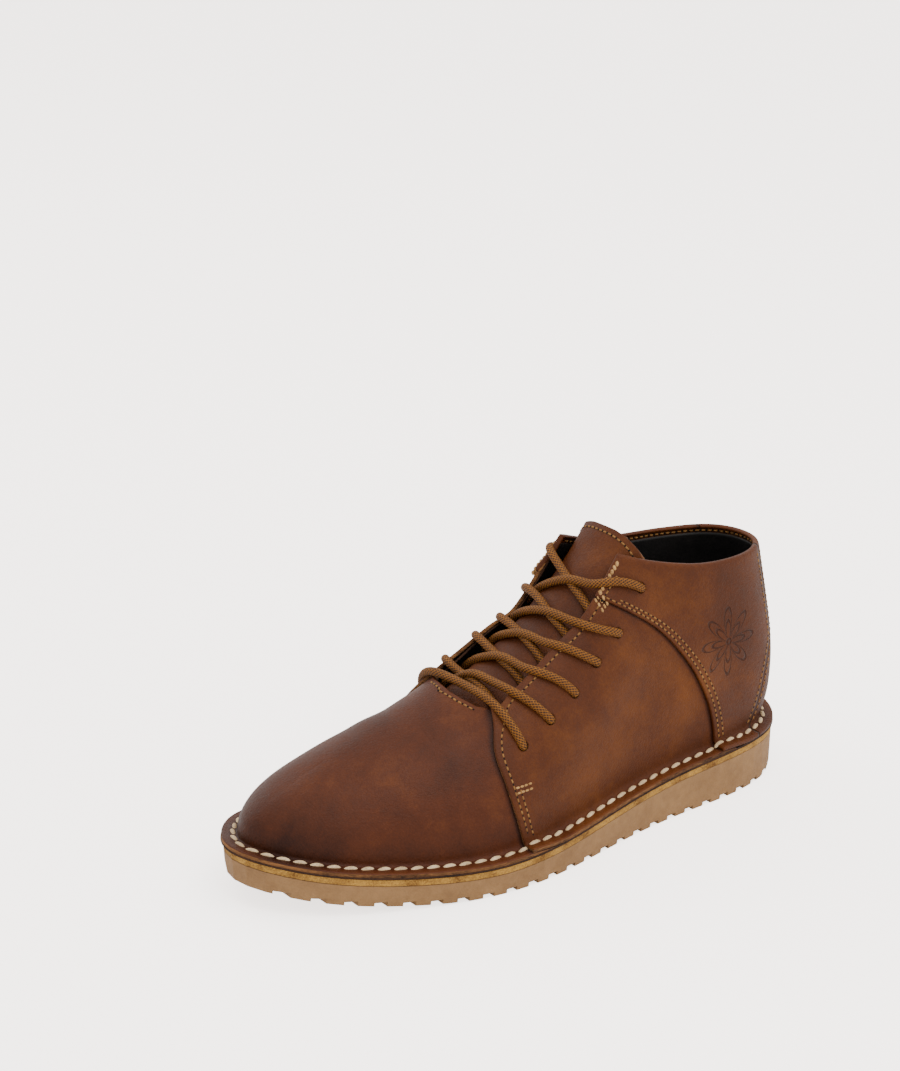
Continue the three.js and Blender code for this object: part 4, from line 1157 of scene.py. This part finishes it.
def braid(spots, turn=0.0):
    """Points, faces and marks of a braided round cord along a line of spots."""
    line, along = rope_line(spots)
    tangent = np.gradient(line, axis=0)
    tangent /= np.linalg.norm(tangent, axis=1)[:, None]
    side = np.cross(tangent, [0.3, 0.2, 1.0])
    side /= np.linalg.norm(side, axis=1)[:, None]
    up = np.cross(side, tangent)
    sides = BRAID_SIDES
    angle = 2 * np.pi * np.arange(sides) / sides
    a, s = angle[None, :] + turn, along[:, None]
    left = np.cos(8 * a + s * 2 * np.pi / BRAID_PITCH)
    right = np.cos(8 * a - s * 2 * np.pi / BRAID_PITCH)
    # The weave's height raises the cord's ridges and, as a mark, paints shade and highlight on them.
    weave_and_shading = np.maximum(left, right)
    radius = LACE / 2 * (0.985 + 0.035 * weave_and_shading)
    end = np.minimum(along, along[-1] - along)
    radius = radius * np.minimum(1, 0.72 + end / 2)[:, None]
    ring = (np.cos(angle)[None, :, None] * side[:, None] + np.sin(angle)[None, :, None] * up[:, None])
    points = (line[:, None] + radius[..., None] * ring).reshape(-1, 3)
    n = len(line)
    i, j = np.meshgrid(np.arange(n - 1), np.arange(sides), indexing="ij")
    k = (j + 1) % sides
    faces = np.stack([i * sides + j, i * sides + k, (i + 1) * sides + k, (i + 1) * sides + j],
                     -1).reshape(-1, 4)
    caps = []
    for base, flip in ((0, False), ((n - 1) * sides, True)):
        for m in range(sides // 2 - 1):
            quad = [base + m, base + m + 1, base + sides - 2 - m, base + sides - 1 - m]
            caps.append(quad if flip else quad[::-1])
    fleck = np.where((left > 0.55) & (np.sin(s * 3.1 + a * 2) > 0.72), 1.0, 0.0)
    return points, np.concatenate([faces, caps]), weave_and_shading.ravel(), fleck.ravel()


def cords(name, lines):
    """One piece of several braided strands, each along its own line of spots."""
    points, faces, weave_and_shadings, flecks, count = [], [], [], [], 0
    for number, spots in enumerate(lines):
        p, f, weave_and_shading, fleck = braid(spots, 0.4 * number)
        points.append(p)
        faces.append(f + count)
        weave_and_shadings.append(weave_and_shading)
        flecks.append(fleck)
        count += len(p)
    return new_mesh(name, np.concatenate(points), np.concatenate(faces), [lace_paint],
                    {"weave_and_shading": np.concatenate(weave_and_shadings), "fleck": np.concatenate(flecks)})


def from_hole(side, hole):
    """The strand's first spots: from inside the boot up through the hole and over the leather."""
    place, out = hole_place[side][hole], hole_out[side][hole]
    step = OVERLAP_STEP * HOLES[hole, 2] * 0.9
    ahead = over_quarter(side, hole, 0.25, 0) - place
    ahead = ahead / np.linalg.norm(ahead)
    return [place - 5.5 * out - 0.8 * ahead, place - 2.0 * out - 0.3 * ahead,
            place + (step + 0.4) * out + 0.5 * ahead, over_quarter(side, hole, 0.28, REST + 0.15),
            over_quarter(side, hole, 0.62, REST), over_quarter(side, hole, 1.0, REST)]


for k in range(5):
    outer_over, inner_over, cross, across, outer_under, inner_under = CROSSINGS[k]
    lines = []
    for side in (-1, 1):
        over, under = (outer_over, inner_under) if side < 0 else (inner_over, outer_under)
        on_top = LACE - 0.4 if side < 0 else 0
        lines.append(from_hole(side, k) + [
            over_tongue((side + across) / 2, x_at((over + cross) / 2), REST + 0.9 + on_top * 0.62),
            over_tongue(across, x_at(cross), REST + on_top),
            over_tongue(side * -0.45, x_at(cross * 0.4 + under * 0.6), REST + 0.2),
            over_tongue(side * -0.80, x_at(under), REST - 0.6),
            over_tongue(side * -1.06, x_at(under + (under - cross) * 0.2), REST - 3.0),
            over_tongue(side * -1.3, x_at(under + (under - cross) * 0.4), REST - 4.2)])
    piece = cords(f"braided_crossing_{k + 1}", lines)
    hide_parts(f"lace_crossing_{k + 1}")

middle = x_at((CROSSINGS[5, 0] + CROSSINGS[5, 1]) / 2)
bar = from_hole(-1, 5) + [over_tongue(0, middle, LACE + 1.2)] + from_hole(1, 5)[::-1]
piece = cords("braided_bar", [bar])
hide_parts("lace_bar")

# Seam stitches: tan thread with a stitch every 3 mm, along the quarters' edges, the heel panel's seams,
# the tongue's root and edge, and the collar's turned-in edge. Each stitch is pulled down at its ends,
# into a needle hole, whose shade is painted on a small near-black capsule sunk in the leather.
PITCH, STITCH, THREAD = 3.0, 2.5, 0.46
thread_paint = fibre_material("seam_thread", (0.115, 0.050, 0.012), (0.26, 0.130, 0.038), 0.75, 2500.0)
# Near-black paint for the needle holes' capsules: painted shade, for holes that are dark only from shade.
hole_shade_paint = fibre_material("needle_hole_shade", (0.004, 0.002, 0.001), (0.008, 0.004, 0.002))


def capsules(middle, normal, ahead, length, radius, sink, slant=0.0, rings=7, sides=8):
    """Rounded stitches at given middles: their points and faces. They are bowed, ends pulled in."""
    normal = normal / np.linalg.norm(normal, axis=1)[:, None]
    ahead = ahead - np.sum(ahead * normal, 1)[:, None] * normal
    ahead /= np.linalg.norm(ahead, axis=1)[:, None]
    across = np.cross(normal, ahead)
    slant = np.broadcast_to(slant, len(middle))[:, None]
    turn = np.cos(slant) * ahead + np.sin(slant) * across
    wide = np.cross(normal, turn)
    t = np.sin(np.linspace(-0.5, 0.5, rings) * np.pi)
    around = 2 * np.pi * np.arange(sides) / sides
    thick = radius * np.sqrt(np.maximum(0.04, 1 - np.abs(t) ** 3.2))
    bow = -0.9 * radius * t ** 2
    spots = (middle[:, None, None] + turn[:, None, None] * (t * length / 2)[None, :, None, None]
             + normal[:, None, None] * (bow - sink)[None, :, None, None]
             + wide[:, None, None] * (thick[:, None] * np.cos(around))[None, :, :, None]
             + normal[:, None, None] * (thick[:, None] * np.sin(around))[None, :, :, None])
    i, j = np.meshgrid(np.arange(rings - 1), np.arange(sides), indexing="ij")
    k = (j + 1) % sides
    walls = np.stack([i * sides + j, i * sides + k, (i + 1) * sides + k, (i + 1) * sides + j],
                     -1).reshape(-1, 4)[:, ::-1]
    last, caps = (rings - 1) * sides, []
    for m in range(sides // 2 - 1):
        quad = [m, m + 1, sides - 2 - m, sides - 1 - m]
        caps += [quad, [last + corner for corner in quad[::-1]]]
    one = np.concatenate([walls, caps])
    faces = (one[None] + np.arange(len(middle))[:, None, None] * rings * sides).reshape(-1, 4)
    return spots.reshape(-1, 3), faces


def spaced(points, out, pitch, start=0.5):
    """Evenly spaced places along a line of points, with the directions outward and ahead."""
    lengths = np.concatenate([[0], np.cumsum(np.linalg.norm(np.diff(points, axis=0), axis=1))])
    count = max(1, int(round(lengths[-1] / pitch)))
    places = (np.arange(count) + start) * lengths[-1] / count

    def at(values, where):
        """Values at lengths along the line, straight between its points."""
        return np.stack([np.interp(where, lengths, values[:, k]) for k in range(3)], -1)
    return at(points, places), at(out, places), at(points, places + 0.5) - at(points, places - 0.5)


def thread_piece(name, rows, material):
    """One piece of all the stitches in rows, in one material."""
    points, faces, count = [], [], 0
    for p, f in rows:
        points.append(p)
        faces.append(f + count)
        count += len(p)
    piece = new_mesh(name, np.concatenate(points), np.concatenate(faces), [material])
    return piece


def on_leather(station, w, lift):
    """Points and directions on the leather, raised by lift along the leather's own direction."""
    points, out = leather_point(station, w), leather_normal(station, w)
    return points + out * lift(points)[..., None], out


def on_side(side, x, z, lift):
    """Points and directions on the leather at x and height z."""
    return on_leather(*spot(side, x, z), lift)


def along_throat(side, x, inset, lift):
    """Points and directions on the leather at each x, inset from the throat's edge."""
    return on_leather(*spot(side, x, THROAT_SWING + side * (throat_half(x) + inset), axis=1), lift)


def quarter_edge(side, inset, low):
    """Up the front edge of a quarter and on along the throat, a little way in from both."""
    z = np.linspace(low, 64, 40)
    x = np.linspace(front_corner[side] + inset + 2.5, rear_corner[side] + 0.5, 50)
    up, out_up = on_side(side, front_x(z) + inset, z, front_lift)
    back, out_back = along_throat(side, x, inset, front_lift)
    return np.concatenate([up, back]), np.concatenate([out_up, out_back])


def seam_row(side, line, offset, low, high, lift):
    """Points and directions along a seam's line from height low to high, offset behind it."""
    z = np.linspace(low, high, 60)
    return on_side(side, line(z) + offset, z, lift)


seam_lines = []
for side in (-1, 1):
    x = np.linspace(rear_corner[side] + 2, top_corner[side] - 2.5, 30)
    seam_lines += [quarter_edge(side, 3.0, 24), seam_row(side, front_x, 5.8, 22, 44, front_lift),
                   along_throat(side, x, 3.0, rear_lift),
                   seam_row(side, rear_x, 2.6, 24.5, 112, rear_lift),
                   seam_row(side, rear_x, 5.6, 24.5, 110.5, rear_lift),
                   seam_row(side, heel_seam_x, -2.4, 25, 114, rear_lift),
                   seam_row(side, heel_seam_x, 2.4, 25, 114, rear_lift)]

# Across the tongue's root, on the vamp, in two halves that leave out the ridge.
y = np.linspace(-16, 16, 30)
root_x = np.interp(np.abs(y), *VAMP_REAR.T) - 2.0
halves = [on_leather(*spot(side, root_x[chosen], THROAT_SWING + y[chosen], axis=1), crease)
          for side, chosen in ((-1, y < -3), (1, y > 3))]
seam_lines.append([np.concatenate([halves[0][k], halves[1][k]]) for k in (0, 1)])

# Round the tongue: up one side, across its rounded top and down the other, an even way in from its edge.
TONGUE_INSET = 3.2
TONGUE_LENGTH = 80.0
up = np.concatenate([np.linspace(0.35, 0.8, 60), tongue_v[tongue_v > 0.805]])
edge_half = np.interp(up, tongue_v, tongue_half)
across = np.linspace(-1, 1, 26)[1:-1] * edge_half[-1]
edge_v = np.concatenate([up, 0 * across + up[-1], up[::-1]]) * TONGUE_LENGTH
edge_y = np.concatenate([-edge_half, across, edge_half[::-1]])
dv, dy = np.gradient(edge_v), np.gradient(edge_y)
size = np.hypot(dv, dy)
row_v = (edge_v - TONGUE_INSET * dy / size) / TONGUE_LENGTH
row_y = edge_y + TONGUE_INSET * dv / size
row_share = np.clip(row_y / np.interp(row_v, tongue_v, tongue_half), -0.97, 0.97)
row = np.interp(row_v, tongue_v, np.arange(tongue_rows))
column = np.interp(row_share, tongue_share, np.arange(tongue_columns))


def between(values, row, column):
    """Values of the tongue's grid at fractions of rows and columns, weighed from the four nearest."""
    i = np.minimum(row.astype(int), tongue_rows - 2)
    j = np.minimum(column.astype(int), tongue_columns - 2)
    a, b = (row - i)[:, None], (column - j)[:, None]
    return ((1 - a) * (1 - b) * values[i, j] + a * (1 - b) * values[i + 1, j]
            + (1 - a) * b * values[i, j + 1] + a * b * values[i + 1, j + 1])


line = between(tongue_face, row, column)
out = between(directions(tongue_face), row, column)
for _ in range(4):
    line[1:-1] = (line[:-2] + 2 * line[1:-1] + line[2:]) / 4
seam_lines.append((line + 0.22 * out, out))

# Inside the collar, through its turned-in edge.
collar_ends = [spot(side, top_corner[side] + 3, 0.5 * THROAT_SWING + 60)[0] - LOOP * (side > 0)
               for side in (-1, 1)]
stations = np.linspace(*collar_ends, 300)
line, out = on_leather(stations, collar_w(stations, 3.0), lambda p: rear_lift(p) - LEATHER - 0.55)
seam_lines.append((line, -out))

stitches = [capsules(*spaced(line, out, PITCH), STITCH, THREAD, 0.10) for line, out in seam_lines]
thread_piece("seam_stitches", stitches, thread_paint)
# Painted shade: a near-black sunk capsule at each stitch's end stands for the shade in its needle hole.
hole_shades = [capsules(*spaced(line, out, PITCH, 0.0), 1.4, 0.60, 0.26, rings=4, sides=6)
         for line, out in seam_lines]
thread_piece("needle_hole_shades", hole_shades, hole_shade_paint)

# Bar tacks: short close rows of thicker pale thread that lock the ends of the seams. They are at the front
# edge, at the rear quarter's corner on the throat, and along the top of the throat.
tack_paint = fibre_material("tack_thread", (0.20, 0.098, 0.030), (0.44, 0.26, 0.105), 0.75, 2500.0)


def top_lift(p):
    """The lift of whichever quarter lies on top."""
    return np.where(p[..., 0] > rear_x(p[..., 2]), rear_lift(p), front_lift(p))


tacks = []
for side in (-1, 1):
    z = np.linspace(44.5, 45.0, 8)
    for fall in (0, 2.2):
        line, out = on_side(side, front_x(z) + np.linspace(3.5, 12.5, 8), z - fall, front_lift)
        tacks.append(capsules(*spaced(line, out, 2.4), 2.4, 0.55, 0.0))
    x = np.linspace(rear_corner[side] - 1.2, rear_corner[side] + 2.6, 6)
    for inset in (1.2, 2.9, 4.6):
        line, out = along_throat(side, x + 0.3 * inset, inset, top_lift)
        tacks.append(capsules(*spaced(line, out, 1.9), 2.6, 0.58, 0.0, 0.9))
    x = np.linspace(top_corner[side] - 12.5, top_corner[side] - 0.8, 26)
    line, out = along_throat(side, x, 1.3, rear_lift)
    places = spaced(line, out, 2.2)
    slants = 0.55 + 0.2 * np.sin(2.3 * np.arange(len(places[0])))
    tacks.append(capsules(*places, 3.1, 0.80, 0.10, slants))
thread_piece("bar_tacks", tacks, tack_paint)

# Welt stitches: thick cream cord, sewn all round through flange, lining and midsole, with a hole between
# each stitch and the next, where a near-black sunk capsule paints the shade in the hole.
WELT_PITCH, WELT_STITCH, WELT_THREAD = 7.4, 7.7, 1.10
WELT_W = -0.43
welt_thread_paint = fibre_material("welt_thread", (0.30, 0.20, 0.105), (0.62, 0.47, 0.29), 0.75, 1900.0)
station = np.linspace(0, LOOP, 1500)
points = leather_point(station, np.full(1500, WELT_W))
points[:, 2] += np.where(points[:, 0] > rear_x(points[:, 2]), rear_lift(points),
                         np.where(points[:, 0] > front_x(points[:, 2]), front_lift(points), 0))
up = np.tile([0, 0, 1.0], (1500, 1))
places = spaced(points, up, WELT_PITCH)
random = np.random.default_rng(7)
slants = 0.20 + random.normal(0, 0.05, len(places[0]))
welt = capsules(*places, WELT_STITCH, WELT_THREAD, 0.10, slants, rings=9, sides=12)
thread_piece("welt_stitches", [welt], welt_thread_paint)
# Painted shade: near-black sunk capsules between the welt stitches stand for the shade in their holes.
hole_shades = capsules(*spaced(points, up, WELT_PITCH, 0.0), 2.0, 0.95, 0.75, rings=5)
thread_piece("welt_hole_shades", [hole_shades], hole_shade_paint)

# Outsole, midsole, insole and heel tab: a moulded tan rubber sole, glued under a yellow-tan layer that
# carries the welt stitches, a lined board inside, and a small folded leather tab on the back. They keep
# their solids and get their finish here.


def rubber_material(name, dark, light, depth):
    """Moulded rubber: even colour with faint clouds, fine pores and softened edges.

    Three noises added pick the colour between dark and light."""
    material, tree, shader, place = start(name)
    patch = cloud(tree, place, 45, 5, 0.6, 0.3)
    fine = cloud(tree, place, 1300, 4, 0.65)
    layer = cloud(tree, place, 260, 4, 0.6)
    share = maths(tree, "MULTIPLY_ADD", maths(tree, "SUBTRACT", layer, 0.5), 0.6, patch)
    share = maths(tree, "MULTIPLY_ADD", maths(tree, "SUBTRACT", fine, 0.5), 0.35, share, clamp=True)
    colour = ramp(tree, share, (0.25, dark), (0.75, light))
    soft = knot(tree, "ShaderNodeBevel", {"samples": 4}, Radius=0.0006).outputs[0]
    height = maths(tree, "MULTIPLY_ADD", layer, 0.7, fine)
    tree.links.new(colour, shader.inputs["Base Color"])
    tree.links.new(bump(tree, height, depth, 0.5, soft), shader.inputs["Normal"])
    shader.inputs["Roughness"].default_value = 0.68
    shader.inputs["Specular IOR Level"].default_value = 0.3
    shader.inputs["Subsurface Weight"].default_value = 0.05
    shader.inputs["Subsurface Radius"].default_value = (0.002, 0.0012, 0.0006)
    return material


rubber_paint = rubber_material("sole_rubber", (0.165, 0.084, 0.030), (0.240, 0.130, 0.050), 0.0004)
midsole_paint = fibre_material("midsole_layer", (0.115, 0.046, 0.0080), (0.42, 0.225, 0.046), 0.85,
                               1300.0, 0.0012)
for name, paint in (("outsole", rubber_paint), ("midsole", midsole_paint), ("insole", lining_paint),
                    ("heel_tab", flesh_paint)):
    node = frame["nodes"][name]
    if node.material_slots:
        for place in node.material_slots:
            place.material = paint
    else:
        node.data.materials.append(paint)

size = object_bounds()
